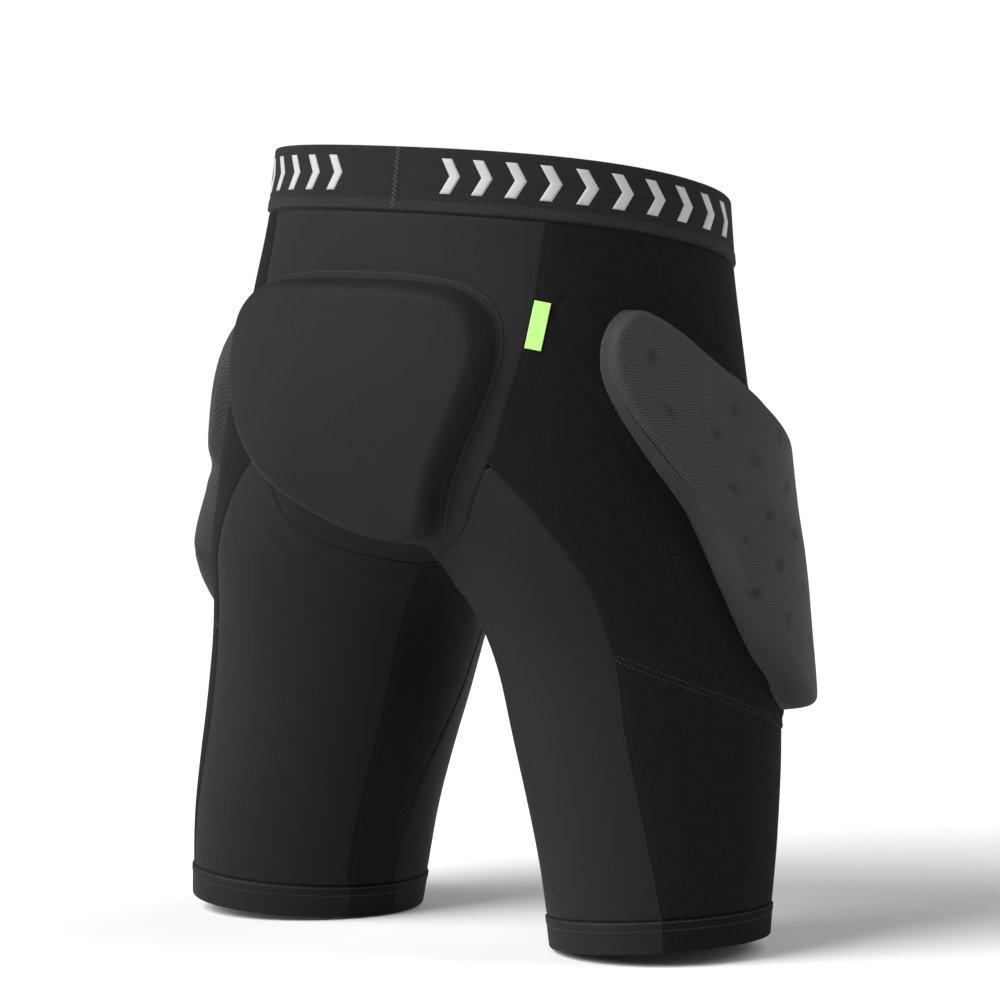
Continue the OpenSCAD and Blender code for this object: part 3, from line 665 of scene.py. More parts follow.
class Paint:
    """A procedural material built node by node. Cloth places come from the cloth map."""

    def __init__(self, name, roughness=0.8, **shader):
        self.material = bpy.data.materials.new(name)
        self.material.use_nodes = True
        self.tree = self.material.node_tree
        self.shader = self.tree.nodes["Principled BSDF"]
        self.shader.inputs["Roughness"].default_value = roughness
        for key, value in shader.items():
            self.shader.inputs[key.replace("_", " ")].default_value = value
        self.places = {}

    def node(self, kind, inputs=None, **settings):
        made = self.tree.nodes.new("ShaderNode" + kind)
        for key, value in settings.items():
            setattr(made, key, value)
        for key, value in (inputs or {}).items():
            self.join(value, made.inputs[key])
        return made

    def join(self, value, socket):
        if isinstance(value, bpy.types.NodeSocket):
            self.tree.links.new(value, socket)
        else:
            socket.default_value = value

    def math(self, operation, *values, clamp=False):
        made = self.node("Math", operation=operation, use_clamp=clamp)
        for socket, value in zip(made.inputs, values):
            self.join(value, socket)
        return made.outputs[0]

    def layers(self, *shares, clamp=False):
        """The sum of values, each times its share."""
        total = self.math("MULTIPLY", *shares[0])
        for value, share in shares[1:-1]:
            total = self.math("MULTIPLY_ADD", value, share, total)
        return self.math("MULTIPLY_ADD", *shares[-1], total, clamp=clamp)

    def cloth(self, scale=(1, 1, 1), turn=0.0):
        """The place in the cloth, in cells of the given number per metre."""
        if "cloth" not in self.places:
            self.places["cloth"] = self.node("UVMap", uv_map="cloth").outputs[0]
        made = self.node("Mapping", {"Vector": self.places["cloth"], "Scale": scale,
                                     "Rotation": (0, 0, turn)})
        return made.outputs[0]

    def object_place(self):
        if "object" not in self.places:
            self.places["object"] = self.node("TexCoord").outputs["Object"]
        return self.places["object"]

    def noise(self, place, scale, detail=2.0, rough=0.5):
        made = self.node("TexNoise", {"Vector": place, "Scale": scale, "Detail": detail,
                                      "Roughness": rough})
        return made.outputs[0]

    def stretch(self, value, low, high, to_low=0.0, to_high=1.0):
        made = self.node("MapRange", {"Value": value, "From Min": low, "From Max": high,
                                      "To Min": to_low, "To Max": to_high})
        return made.outputs[0]

    def attribute(self, name):
        return self.node("Attribute", attribute_name=name).outputs["Fac"]

    def mix(self, share, low, high):
        made = self.node("Mix", data_type="RGBA")
        self.join(share, made.inputs[0])
        self.join(low, made.inputs[6])
        self.join(high, made.inputs[7])
        return made.outputs[2]

    def bump(self, height, distance, strength=1.0, onto=None):
        inputs = {"Height": height, "Distance": distance, "Strength": strength}
        if onto is not None:
            inputs["Normal"] = onto
        return self.node("Bump", inputs).outputs[0]

    def finish(self, colour, roughness=None, normal=None):
        self.join(colour, self.shader.inputs["Base Color"])
        if roughness is not None:
            self.join(roughness, self.shader.inputs["Roughness"])
        if normal is not None:
            self.join(normal, self.shader.inputs["Normal"])
        return self.material


def grey(value, tint=(1, 1, 1)):
    return (value * tint[0], value * tint[1], value * tint[2], 1)


def stripes(paint, place, axis, sharp=1.0):
    """Waves of one cell's length along an axis of the place, from 0 to 1."""
    split = paint.node("SeparateXYZ", {"Vector": place})
    turned = paint.math("MULTIPLY", split.outputs[axis], 2 * math.pi)
    wave = paint.math("MULTIPLY_ADD", paint.math("SINE", turned), 0.5, 0.5)
    return paint.math("POWER", wave, sharp) if sharp != 1 else wave


def jersey_material(name, dark, light, pitch=0.85):
    """Smooth knit: wales along the cloth, courses across it, a soft heather."""
    p = Paint(name, 0.66, Sheen_Weight=0.012, Sheen_Roughness=0.5, Specular_IOR_Level=0.10)
    cell = p.cloth((1000 / pitch, 700 / pitch, 1))
    wales = stripes(p, cell, 0)
    courses = stripes(p, cell, 1)
    knit = p.layers((courses, 0.35), (wales, 0.65))
    grain = p.noise(p.cloth((900, 900, 1)), 1.0, 3.0, 0.65)
    cloud = p.noise(p.object_place(), 14.0, 3.0)
    shade = p.layers((knit, 0.25), (grain, 0.55), (cloud, 0.25), clamp=True)
    # Lighter near seams, hems and stitch lines, by the edge share: painted highlight.
    edge_highlit = p.math("MULTIPLY_ADD", p.attribute("edge"), 0.10, shade, clamp=True)
    rough = p.stretch(grain, 0.3, 0.7, 0.56, 0.76)
    height = p.math("MULTIPLY_ADD", grain, 0.4, knit)
    normal = p.bump(height, 0.00012, 0.55)
    return p.finish(p.mix(edge_highlit, grey(dark), grey(light)), rough, normal)


def twill_material(name, dark, light, pitch=1.45):
    """Fine ribs that run diagonally across the cloth."""
    p = Paint(name, 0.8, Sheen_Weight=0.006, Sheen_Roughness=0.5, Specular_IOR_Level=0.07)
    place = p.cloth((1000 / pitch, 1000 / pitch, 1), math.radians(-38))
    wobble = p.noise(p.cloth((60, 60, 1)), 1.0, 1.0)
    shifted = p.node("VectorMath", {0: place, 1: wobble}, operation="ADD").outputs[0]
    rib = stripes(p, shifted, 0, 1.4)
    grain = p.noise(p.cloth((1100, 1100, 1)), 1.0, 3.0, 0.7)
    thread = stripes(p, p.cloth((2300, 2300, 1), math.radians(52)), 0)
    cloud = p.noise(p.object_place(), 11.0, 3.0)
    shade = p.layers((grain, 0.3), (rib, 0.5), (cloud, 0.2), clamp=True)
    # Lighter near the seams, by the edge share: painted highlight.
    shade = p.math("MULTIPLY_ADD", p.attribute("edge"), 0.08, shade, clamp=True)
    height = p.math("MULTIPLY_ADD", thread, 0.15, p.math("MULTIPLY_ADD", grain, 0.25, rib))
    normal = p.bump(height, 0.00028, 0.7)
    rough = p.stretch(grain, 0.3, 0.7, 0.7, 0.88)
    return p.finish(p.mix(shade, grey(dark), grey(light)), rough, normal)


def mesh_material(name, hole, thread, pitch=1.7):
    """Open mesh: rows of round holes, each row half a cell off its neighbours."""
    p = Paint(name, 0.6, Sheen_Weight=0.01, Sheen_Roughness=0.4, Specular_IOR_Level=0.15)
    drift = p.noise(p.cloth((260, 260, 1)), 1.0, 2.0)
    even = p.cloth((1000 / pitch, 1000 / pitch / 0.87, 1))
    place = p.node("VectorMath", {0: even, 1: drift}, operation="ADD").outputs[0]
    split = p.node("SeparateXYZ", {"Vector": place})
    row = p.math("FLOOR", split.outputs[1])
    odd = p.math("MULTIPLY", p.math("MODULO", p.math("ADD", row, 4000.0), 2.0), 0.5)
    across = p.math("SUBTRACT", p.math("FRACT", p.math("ADD", split.outputs[0], odd)), 0.5)
    down = p.math("SUBTRACT", p.math("FRACT", split.outputs[1]), 0.5)
    across, down = p.math("MULTIPLY", across, across), p.math("MULTIPLY", down, down)
    away_from = p.math("SQRT", p.math("ADD", across, down))
    body = p.stretch(away_from, 0.16, 0.42)
    grain = p.noise(p.cloth((800, 800, 1)), 1.0, 3.0, 0.65)
    cloud = p.noise(p.object_place(), 16.0, 3.0)
    shade = p.math("MULTIPLY_ADD", body, 0.62, p.math("MULTIPLY", grain, 0.4))
    shade = p.math("MULTIPLY_ADD", cloud, 0.2, p.math("SUBTRACT", shade, 0.12), clamp=True)
    # Darker over the pad's vent holes, by the vent share: painted shade of the holes under the
    # mesh.
    vent = p.attribute("vent")
    vent_shaded = p.math("MULTIPLY", shade, p.math("SUBTRACT", 1.0, p.math("MULTIPLY", vent, 0.5)))
    normal = p.bump(p.math("MULTIPLY_ADD", grain, 0.2, body), 0.00030, 0.6)
    rough = p.stretch(body, 0.0, 1.0, 0.85, 0.55)
    return p.finish(p.mix(vent_shaded, grey(hole), grey(thread)), rough, normal)


def elastic_material(name, dark, light):
    """Knitted elastic: fine upright ribs broken by a heathered yarn."""
    p = Paint(name, 0.85, Sheen_Weight=0.02, Sheen_Roughness=0.5, Specular_IOR_Level=0.08)
    cell = p.cloth((900, 620, 1))
    ribs = stripes(p, cell, 0)
    courses = stripes(p, cell, 1)
    fleck = p.noise(p.cloth((700, 520, 1)), 1.0, 4.0, 0.75)
    cloud = p.noise(p.cloth((45, 60, 1)), 1.0, 3.0)
    fuzz = p.stretch(fleck, 0.36, 0.68)
    shade = p.layers((ribs, 0.18), (fuzz, 0.62), (cloud, 0.2), clamp=True)
    # Lighter on the raised rim below and the rolled edge above, by the edge share: painted
    # highlight.
    shade = p.math("MULTIPLY_ADD", p.attribute("edge"), 0.35, shade, clamp=True)
    weave = p.layers((courses, 0.5), (ribs, 0.5))
    normal = p.bump(p.math("MULTIPLY_ADD", fuzz, 0.6, weave), 0.00022, 0.7)
    rough = p.stretch(fleck, 0.3, 0.7, 0.8, 0.95)
    return p.finish(p.mix(shade, grey(dark), grey(light)), rough, normal)


def thread_material(name, dark, light, twist=1500):
    """Twisted thread: slanting strands along a stitch or seam."""
    p = Paint(name, 0.7, Sheen_Weight=0.05, Sheen_Roughness=0.4, Specular_IOR_Level=0.2)
    strand = stripes(p, p.cloth((twist, twist, 1), math.radians(35)), 0)
    grain = p.noise(p.object_place(), 900.0, 2.0)
    shade = p.layers((grain, 0.4), (strand, 0.6), clamp=True)
    normal = p.bump(strand, 0.00012, 0.6)
    rough = p.stretch(grain, 0.3, 0.7, 0.62, 0.82)
    return p.finish(p.mix(shade, grey(dark), grey(light)), rough, normal)


def woven_material(name, dark, light, pitch=0.7):
    """Plain woven ribbon: over and under in both directions."""
    p = Paint(name, 0.6, Sheen_Weight=0.15, Sheen_Roughness=0.4, Specular_IOR_Level=0.35)
    cell = p.cloth((1000 / pitch, 1000 / pitch, 1))
    warp, weft = stripes(p, cell, 0), stripes(p, cell, 1)
    weave = p.math("ABSOLUTE", p.math("SUBTRACT", warp, weft))
    grain = p.noise(p.cloth((1200, 1200, 1)), 1.0, 2.0)
    cloud = p.noise(p.cloth((130, 130, 1)), 1.0, 2.0)
    shade = p.layers((grain, 0.4), (weave, 0.4), (cloud, 0.3), clamp=True)
    normal = p.bump(weave, 0.00015, 0.5)
    rough = p.stretch(grain, 0.3, 0.7, 0.5, 0.75)
    return p.finish(p.mix(shade, dark, light), rough, normal)


def foam_material(name, dark, light):
    """Closed-cell foam: a fine uneven skin of cells."""
    p = Paint(name, 0.9, Specular_IOR_Level=0.25)
    cells = p.node("TexVoronoi", {"Vector": p.object_place(), "Scale": 900.0}).outputs[0]
    cloud = p.noise(p.object_place(), 40.0, 4.0)
    shade = p.layers((cloud, 0.4), (cells, 0.7), clamp=True)
    normal = p.bump(cells, 0.0003, 0.6)
    rough = p.stretch(cloud, 0.3, 0.7, 0.84, 0.96)
    return p.finish(p.mix(shade, grey(dark), grey(light)), rough, normal)


def floor_material():
    p = Paint("floor_matt", 0.9, Specular_IOR_Level=0.2)
    cloud = p.noise(p.object_place(), 3.0, 4.0)
    fine = p.noise(p.object_place(), 400.0, 2.0)
    rough = p.stretch(cloud, 0.3, 0.7, 0.86, 0.95)
    normal = p.bump(fine, 0.0002, 0.1)
    return p.finish(p.mix(cloud, grey(0.84), grey(0.86)), rough, normal)


JERSEY = jersey_material("jersey_black", 0.004, 0.016)
# A darker copy of the jersey for the gusset between the legs: painted shade of the crotch.
SHADED_GUSSET_JERSEY = jersey_material("gusset_black_shaded", 0.002, 0.006)
TWILL = twill_material("twill_black", 0.002, 0.010)
PAD_MESH = mesh_material("pad_mesh_grey", 0.006, 0.048)
ELASTIC_KNIT = elastic_material("elastic_charcoal", 0.005, 0.026)
SEAM_THREAD = thread_material("seam_black", 0.002, 0.005)
STITCH = thread_material("stitch_grey", 0.020, 0.070)
DARK_STITCH = thread_material("stitch_black", 0.004, 0.014)
ZIGZAG = thread_material("zigzag_grey", 0.030, 0.080)
LABEL = woven_material("label_lime", (0.34, 0.78, 0.13, 1), (0.50, 0.96, 0.26, 1))
PATTERN = woven_material("pattern_pale", grey(0.30), grey(0.50))
FOAM = foam_material("foam_grey", 0.05, 0.12)
LINING = mesh_material("lining_black", 0.004, 0.020, 0.9)


# ---- Placing pieces in the frame ----


def tell(piece, nodes):
    """Hide the CAD nodes whose place the piece takes."""
    if nodes:
        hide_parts(*nodes)
    return piece


def on_seat(piece, slot, *nodes):
    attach(piece, "seat")
    return tell(piece, nodes)


def across_hip(piece, side_name, slot, *nodes):
    """The piece's place is baked into its mesh; it follows neither the seat nor the leg."""
    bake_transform(piece)
    return tell(piece, nodes)


def on_leg(piece, side_name, slot, *nodes):
    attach(piece, "leg_" + side_name)
    return tell(piece, nodes)


# ---- Panels of the shorts ----

def make_side_panels(side, name):
    near = joined(SEAT_LINE[:BRANCH + 1], REAR_LINE)
    far = joined(FRONT_LINE[:BRANCH + 1], FORE_LINE)
    made = panel("side_panel_cloth_" + name, side, near, far, [TWILL], mound=True,
                 low_dip=SEAM_SAG)
    across_hip(made, name, "twill_knit", "side_panel_" + name)
    low = panel("lower_side_cloth_" + name, side, joined(OUTER_REAR), joined(OUTER_FORE),
                [TWILL], top_dip=SEAM_SAG, low_gap=0)
    across_hip(low, name, "twill_knit", "lower_side_panel_" + name)


# The strips beside the leg seams: name, outer edge, inner edge, area of the flat cloth
LEG_STRIPS = (
    ("rear", (REAR_LINE, OUTER_REAR), (SEAT_LINE[BRANCH:], GUSSET_REAR), 0.034),
    ("front", (FORE_LINE, OUTER_FORE), (FRONT_LINE[BRANCH:], GUSSET_FORE), 0.037),
)


def make_leg_panels(side, name):
    for label, outer, inner, area in LEG_STRIPS:
        made = panel(label + "_leg_cloth_" + name, side, joined(*outer), joined(*inner),
                     [JERSEY], start=0.012, top_gap=0, low_gap=0)
        across_hip(made, name, "jersey", label + "_leg_panel_" + name)
    rear_edge = joined(GUSSET_REAR) - np.array([360, 0])
    # The gusset takes the darker copy of the jersey: painted shade between the legs.
    inside = panel("gusset_cloth_" + name, side, rear_edge, joined(GUSSET_FORE),
                   [SHADED_GUSSET_JERSEY], low_gap=0)
    across_hip(inside, name, "gusset_jersey", "gusset_" + name)


HEM_MIDDLE = 0.75
HEM_HALF = 1.1


def hem_ridges(h):
    """The cloth swells between the rows of stitches and is drawn in below them."""
    return 0.35 * np.exp(-((h - 16.5) / 2.2) ** 2) - 0.25 * np.exp(-((h - 14) / 0.8) ** 2)


def hem_rows():
    low = np.array([0, 0.15, 0.45, 0.9, 1.6, 2.6])
    return np.concatenate([low, np.linspace(4, HEM - 1.6, 8), [HEM - 0.8, HEM - 0.3, HEM]])


def make_hem(side, name):
    columns = 180
    rows = hem_rows()
    angles = np.arange(columns) * 360 / columns
    angle, h = np.meshgrid(angles, rows)
    spread = np.sqrt(np.clip(1 - (1 - np.clip(h / 1.5, 0, 1)) ** 2, 0.004, 1))
    out = relief(angle, h, side) * smooth(h / 3)
    out += hem_ridges(h)
    out += 0.10 * np.sin(angle * 1.31 + side) * np.exp(-((h - 16.5) / 4) ** 2)
    out -= 0.75 * np.exp(-((HEM - h) / 0.7) ** 2)
    outer = on_body(angle, h, side, HEM_MIDDLE + out + HEM_HALF * spread)
    inner = on_body(angle, h, side, HEM_MIDDLE + out - HEM_HALF * spread)
    around, up = np.meshgrid(np.arange(columns + 1) * 360 / columns, rows)
    uv = cloth_place(around, up)
    chosen = np.zeros(columns + 1, int)
    beside = (angles >= OUTER_FORE[-1][0]) & (angles <= OUTER_REAR[-1][0])
    chosen[:columns][beside] = 1
    # Past the gusset seam the hem takes the darker jersey: painted shade between the legs.
    chosen[:columns][angles > GUSSET_REAR[-1][0]] = 2
    # The edge share lightens the colour at the hem's folded bottom: painted highlight.
    made = cloth("hem_cloth_" + name, outer, inner, uv, [JERSEY, TWILL, SHADED_GUSSET_JERSEY], True,
                 {"edge": np.exp(-h / 2)}, chosen)
    on_leg(made, name, "jersey", "hem_" + name)


def make_centre_panels():
    seat = centre_panel("seat_panel_cloth", joined(SEAT_LINE), True, [JERSEY])
    on_seat(seat, "jersey", "seat_panel")
    front = centre_panel("front_panel_cloth", joined(FRONT_LINE), False, [JERSEY])
    on_seat(front, "jersey", "front_panel")


# ---- Waistband ----

def round_waist(turn, h, out):
    """Points round the waist: turn runs 0 to 360 from the front by the wearer's left."""
    turn = np.mod(turn, 360)
    is_left = turn <= 180
    angle = np.where(is_left, 90 + turn, 450 - turn)
    left = on_body(angle, h, LEFT, out)
    return left * np.stack([np.where(is_left, 1, -1), np.ones_like(turn), np.ones_like(turn)], -1)


def waist_turns(distance, level=450):
    """The turn at each distance round the waist, counted from the front."""
    turns = np.linspace(0, 360, 721)
    run = lengths(round_waist(turns, np.full(721, level), np.zeros(721)))
    return np.interp(np.mod(distance, run[-1]), run, turns), run[-1]


def band_out(turn, h):
    """The elastic's outer face: a raised rim below, a rolled edge above."""
    low = h - WAIST
    out = ELASTIC + 0.45 * smooth((7.5 - low) / 1.6) * smooth(low / 0.9)
    out = out - 0.9 * np.exp(-(low / 0.7) ** 2)
    out = out + 0.12 * np.sin(np.radians(turn) * 9 + 0.02 * h) * smooth((h - 440) / 20)
    return out


def make_waistband():
    columns = 360
    low = np.array([0.2, 0.6, 1.2, 2.2, 4, 6, 7, 7.6, 8.4, 9.4])
    rows = WAIST + np.concatenate([low, np.linspace(12, 36, 9), [38, 39, 39.5, 39.8, 40]])
    turn, h = np.meshgrid(np.arange(columns) * 1.0, rows)
    spread = np.sqrt(np.clip(1 - (1 - np.clip((RISE - h) / 1.1, 0, 1)) ** 2, 0.004, 1))
    face = band_out(turn, h)
    middle = ELASTIC / 2
    outer = round_waist(turn, h, middle + (face - middle) * spread)
    inner = round_waist(turn, h, middle - middle * spread)
    run = waist_turns(0)[1]
    around, up = np.meshgrid(np.arange(columns + 1) * run / columns, rows)
    uv = np.stack([around, up], -1)
    # The edge share lightens the elastic on its raised rim and rolled top edge: painted highlight.
    edge = smooth((WAIST + 7.5 - h) / 2) * 0.8 + 0.4 * smooth((h - 468) / 2)
    made = cloth("waistband_cloth", outer, inner, uv, [ELASTIC_KNIT], True, {"edge": edge})
    on_seat(made, "elastic", "waistband")
    return made, run


PATTERN_GROUPS = 3
PATTERN_COUNT = 10
PATTERN_PITCH = 22.0
PATTERN_HEIGHT = 22.0
PATTERN_STROKE = 7.5
PATTERN_MIDDLE = WAIST + 22.5
PATTERN_START = 480.0
PATTERN_POINT = 6.5
PATTERN_PROUD = 0.30
PATTERN_SUNK = 0.3


def chevron(start):
    """One closed chevron, a little proud of the elastic, from a distance round the band."""
    v, w = np.linspace(-1, 1, 15)[:, None], np.linspace(0, 1, 5)[None]
    along = start + PATTERN_POINT * (1 - np.abs(v)) + PATTERN_STROKE * w
    h = PATTERN_MIDDLE + PATTERN_HEIGHT / 2 * v + 0 * w
    turn = waist_turns(along)[0]
    rim = np.minimum(1, np.minimum(w, 1 - w) * 8) * np.minimum(1, (1 - np.abs(v)) * 12)
    face = band_out(turn, h)
    top = round_waist(turn, h, face + PATTERN_PROUD - 0.25 * (1 - rim))
    low = round_waist(turn, h, face - PATTERN_SUNK)
    points, faces, places = sheet_parts(top, low)
    uv = np.stack([along, h], -1)
    return (points, *outward(points, faces, [uv[p[..., 0], p[..., 1]] for p in places]))


def make_band_pattern(run):
    """Groups of plain woven chevrons round the elastic."""
    starts = [PATTERN_START + group * run / PATTERN_GROUPS + k * PATTERN_PITCH
              for group in range(PATTERN_GROUPS) for k in range(PATTERN_COUNT)]
    made = gathered("waistband_pattern", [chevron(start) for start in starts], PATTERN)
    return on_seat(made, "band_pattern")


JOIN_TURN, JOIN_SWING, JOIN_POINTS = 183.2, 0.55, 27


def make_join():
    """The zigzag seam that joins the elastic's ends at the middle of the back."""
    rows = np.linspace(0.05, 0.97, JOIN_POINTS)
    turn = JOIN_TURN + np.where(np.arange(JOIN_POINTS) % 2 == 0, -JOIN_SWING, JOIN_SWING)
    h = WAIST + 40 * rows
    out = band_out(turn, h) + 0.15
    spine = round_waist(turn, h, out)
    fine = curve(spine, 4)
    ups = np.broadcast_to(np.array([0, 1, 0.2]), fine.shape)
    made = gathered("waistband_join_zigzag", [tube_parts(fine, ups, 0.34, 6)], ZIGZAG)
    return on_seat(made, "zigzag_thread", "waistband_join_stitch")


def make_waist_seam():
    turns = np.arange(0, 360, 1.0)
    h = np.full(360, float(WAIST))
    spine = round_waist(turns, h, np.full(360, 0.55))
    outer = round_waist(turns, h, np.full(360, 2.0))
    parts = [tube_parts(spine, unit(outer - spine), 0.62, 8, True)]
    made = gathered("waist_seam_bead", parts, SEAM_THREAD)
    return on_seat(made, "seam", "waist_seam")


# ---- Seams ----

def evenly(places, step):
    """Angles and heights about a step apart along a line on the body."""
    run = lengths(on_body(*places.T))[-1]
    return at_share(places, np.linspace(0, 1, int(run / step) + 2)).T


def seam_tube(places, side, out=0.25, radius=0.55):
    """A bead of thread along a seam."""
    angle, h = evenly(places, 2.2)
    spine = on_body(angle, h, side, relief(angle, h, side) + out)
    return tube_parts(spine, body_normal(angle, h, side), radius, 8)


def seam_stitches(places, side, out, length, gap, radius, shift=0.0, mound=False):
    """A row of stitches beside a line, shifted to one side of it in millimetres."""
    angle, h = evenly(places, 2.0)
    stand = relief(angle, h, side) + out
    if mound:
        stand = stand + hip_relief(skin(angle, h), side)
    normal = skin_normal(angle, h)
    spine = on_body(angle, h, LEFT, stand)
    if shift:
        along = unit(np.gradient(spine, axis=0))
        spine = spine + shift * unit(np.cross(normal, along))
    flip = np.array([side, 1, 1])
    return stitch_parts(spine * flip, normal * flip, length, gap, radius)


def lower_seam():
    corner, end = np.array(OUTER_REAR[0], float), np.array(OUTER_FORE[0], float)
    s = np.linspace(0, 1, 41)[:, None]
    return corner + s * (end - corner) - np.array([0, 1]) * SEAM_SAG * 4 * s * (1 - s)


def make_seams(side, name):
    for label, line in (("seat", SEAT_LINE), ("front", FRONT_LINE)):
        made = gathered(label + "_seam_bead_" + name, [seam_tube(joined(line), side)], SEAM_THREAD)
        on_seat(made, "seam", label + "_seam_" + name)
    parts = [seam_tube(joined(line), side) for line in (REAR_LINE, FORE_LINE)]
    parts.append(seam_tube(lower_seam(), side))
    made = gathered("side_panel_seam_beads_" + name, parts, SEAM_THREAD)
    across_hip(made, name, "seam", "side_panel_seams_" + name)
    down_rear = joined(OUTER_REAR, [(231.6, HEM), (230.9, HEM / 2), (230.4, 0.6)])
    down_fore = joined(OUTER_FORE, [(125, HEM), (125.4, HEM / 2), (126, 0.6)])
    parts = [seam_tube(line, side) for line in (down_rear, down_fore)]
    made = gathered("outer_leg_seam_beads_" + name, parts, SEAM_THREAD)
    across_hip(made, name, "seam", "outer_leg_seams_" + name)
    rear = joined(GUSSET_REAR, [(333, HEM), (333.3, HEM / 2), (333.6, 0.6)])
    fore = joined(GUSSET_FORE, [(-3, HEM), (-3.2, HEM / 2), (-3.5, 0.6)])
    top = np.stack([np.linspace(-28, 28, 41), np.full(41, CROTCH - 0.8)], -1)
    parts = [seam_tube(rear, side), seam_tube(fore, side), seam_tube(top, side, 0.3, 1.5)]
    made = gathered("gusset_seam_beads_" + name, parts, SEAM_THREAD)
    across_hip(made, name, "seam", "gusset_seams_" + name)


def make_leg_stitches(side, name):
    """Rows of stitches beside the seams of the lower side panel."""
    rows = [seam_stitches(joined(OUTER_REAR), side, FABRIC, 2.0, 0.8, 0.2, 1.5)]
    for shift in (-1.6, 1.6):
        rows.append(seam_stitches(lower_seam(), side, FABRIC, 2.0, 0.8, 0.2, shift))
    made = gathered("leg_stitches_" + name, rows, STITCH)
    across_hip(made, name, "stitch_thread")


def make_hem_stitches(side, name):
    around = np.arange(0, 360, 2.0)
    parts = []
    for h in (HEM - 1.0, HEM - 6.0):
        places = np.stack([around, np.full(180, h)], -1)
        stand = HEM_MIDDLE + HEM_HALF + 0.02 + relief(*places.T, side) + hem_ridges(h)
        spine = on_body(*places.T, side, stand)
        parts.append(stitch_parts(spine, body_normal(*places.T, side), 1.7, 0.7, 0.26, True))
    made = gathered("hem_stitches_" + name, parts, STITCH)
    on_leg(made, name, "stitch_thread", "hem_stitching_" + name)


# ---- Pads ----

RIM_STEPS = np.array([30, 24, 19, 15, 12, 9.5, 7.6, 6, 4.6, 3.4, 2.4, 1.6, 1, 0.5, 0.15])
OUTSIDE_STEPS = np.array([-0.3, -0.9, -1.8, -3, -4.4, -5.6])
HIP_OUTSIDE = OUTSIDE_STEPS[:3]


def pad_shares(reach, outside):
    """Shares of the way from the middle to the outline, for each direction."""
    steps = np.concatenate([RIM_STEPS, outside])
    rim = 1 - steps[:, None] / reach[None]
    inner = np.linspace(0.05, 1, 18)[:-1, None] * rim[:1]
    return np.concatenate([inner, rim])


def over_wall(place, middle, drop):
    """Cloth places moved outwards by the height that the cloth has come down."""
    return place + unit(place - middle) * drop[..., None]


def shoulder(gap, width, power):
    """A pad's height from 0 at its foot to 1 past its rounded shoulder."""
    t = np.clip(gap / width, 0, 1)
    return (1 - (1 - t) ** power) ** (1 / power)


# Vent holes near the rear rim, and rows of the same lattice over the rest of the pad
VENTS = [(204.6, 354), (202.2, 326), (195.6, 342), (191.8, 313), (187.7, 283), (185.7, 248),
         (184.8, 218), (185.7, 327), (180.4, 297), (175.3, 264), (173, 232), (172, 200),
         (168, 311), (164, 280), (160, 248), (157, 216), (154, 184), (152, 295), (148, 263),
         (144, 231), (141, 199), (136, 278), (132, 246), (129, 214)]
VENT_RADIUS = 3.6
LINING_DEPTH, LINING_THICK = 1.4, 0.7
NOTCH = (197.5, 275)


def hip_parts(side, n=240):
    outline = curve(HIP_OUTLINE, 24, True)
    outline = outline[np.linspace(0, len(outline), n, endpoint=False).astype(int)]
    middle = np.array(HIP_MIDDLE, float)
    edge = on_body(*upright(outline, side).T)
    reach = np.linalg.norm(edge - on_body(*upright(middle, side)), axis=1)
    shares = pad_shares(reach, HIP_OUTSIDE)
    place = upright(middle + shares[..., None] * (outline - middle)[None], side)
    points = skin(place[..., 0], place[..., 1])
    gap, _ = away(points, edge)
    gap = np.where(shares > 1, -gap, gap)
    return place, points, gap, upright(middle, side)


def hip_height(points, gap, side, dimples=True):
    """The pad's height over the side panel, with its vents and its notch."""
    height = HIP_FOAM * shoulder(gap, 8.5, 2.9)
    notch = skin(*upright(np.array(NOTCH, float), side))
    near = np.linalg.norm(points - notch, axis=-1)
    height = height * (1 - 0.4 * np.exp(-(near / 7) ** 2))
    # Besides the dimples and the core's holes, this vent mask darkens the mesh cover's colour:
    # painted shade.
    vent = np.zeros(gap.shape)
    for centre in skin(*upright(np.array(VENTS, float), side).T):
        away_from = np.linalg.norm(points - centre, axis=-1)
        vent = np.maximum(vent, smooth((VENT_RADIUS + 0.8 - away_from) / 1.6))
    if dimples:
        height = height - 0.6 * vent
    return height, vent


def hip_dome(name, side, place, middle, outs, hubs, uv, material, shares):
    """A dome on the hip, from both faces' distances to the body and those of their middles."""
    top, low = [on_body(place[..., 0], place[..., 1], side, out) for out in outs]
    hub, under_hub = [on_body(*middle, side, out) for out in hubs]
    return dome(name, hub, top, under_hub, low, cloth_place(*middle), uv, [material], shares)


def make_hip_pad(side, name):
    place, points, gap, middle = hip_parts(side)
    height, vent = hip_height(points, gap, side)
    flange = FABRIC + FOOT_RISE * np.exp(np.minimum(gap, 0) / FOOT_REACH)
    flange = flange - 0.5 * smooth(-gap / 1.8)
    out = np.maximum(flange, FABRIC + 0.4) + height + 0.12 * ripple(points, 30, 41)
    high = float(out[0].mean())
    uv = cloth_place(place[..., 0], place[..., 1])
    uv = over_wall(uv, cloth_place(*middle), HIP_FOAM - height)
    # The vent share darkens the mesh over the holes: painted shade.
    made = hip_dome("hip_pad_mesh_" + name, side, place, middle, (out + 0.5, out - 0.3),
                    (high + 0.5, high - 0.3), uv, PAD_MESH,
                    {"vent": vent, "edge": np.exp(-np.abs(gap) / 2)})
    across_hip(made, name, "pad_mesh", "hip_pad_cover_" + name)


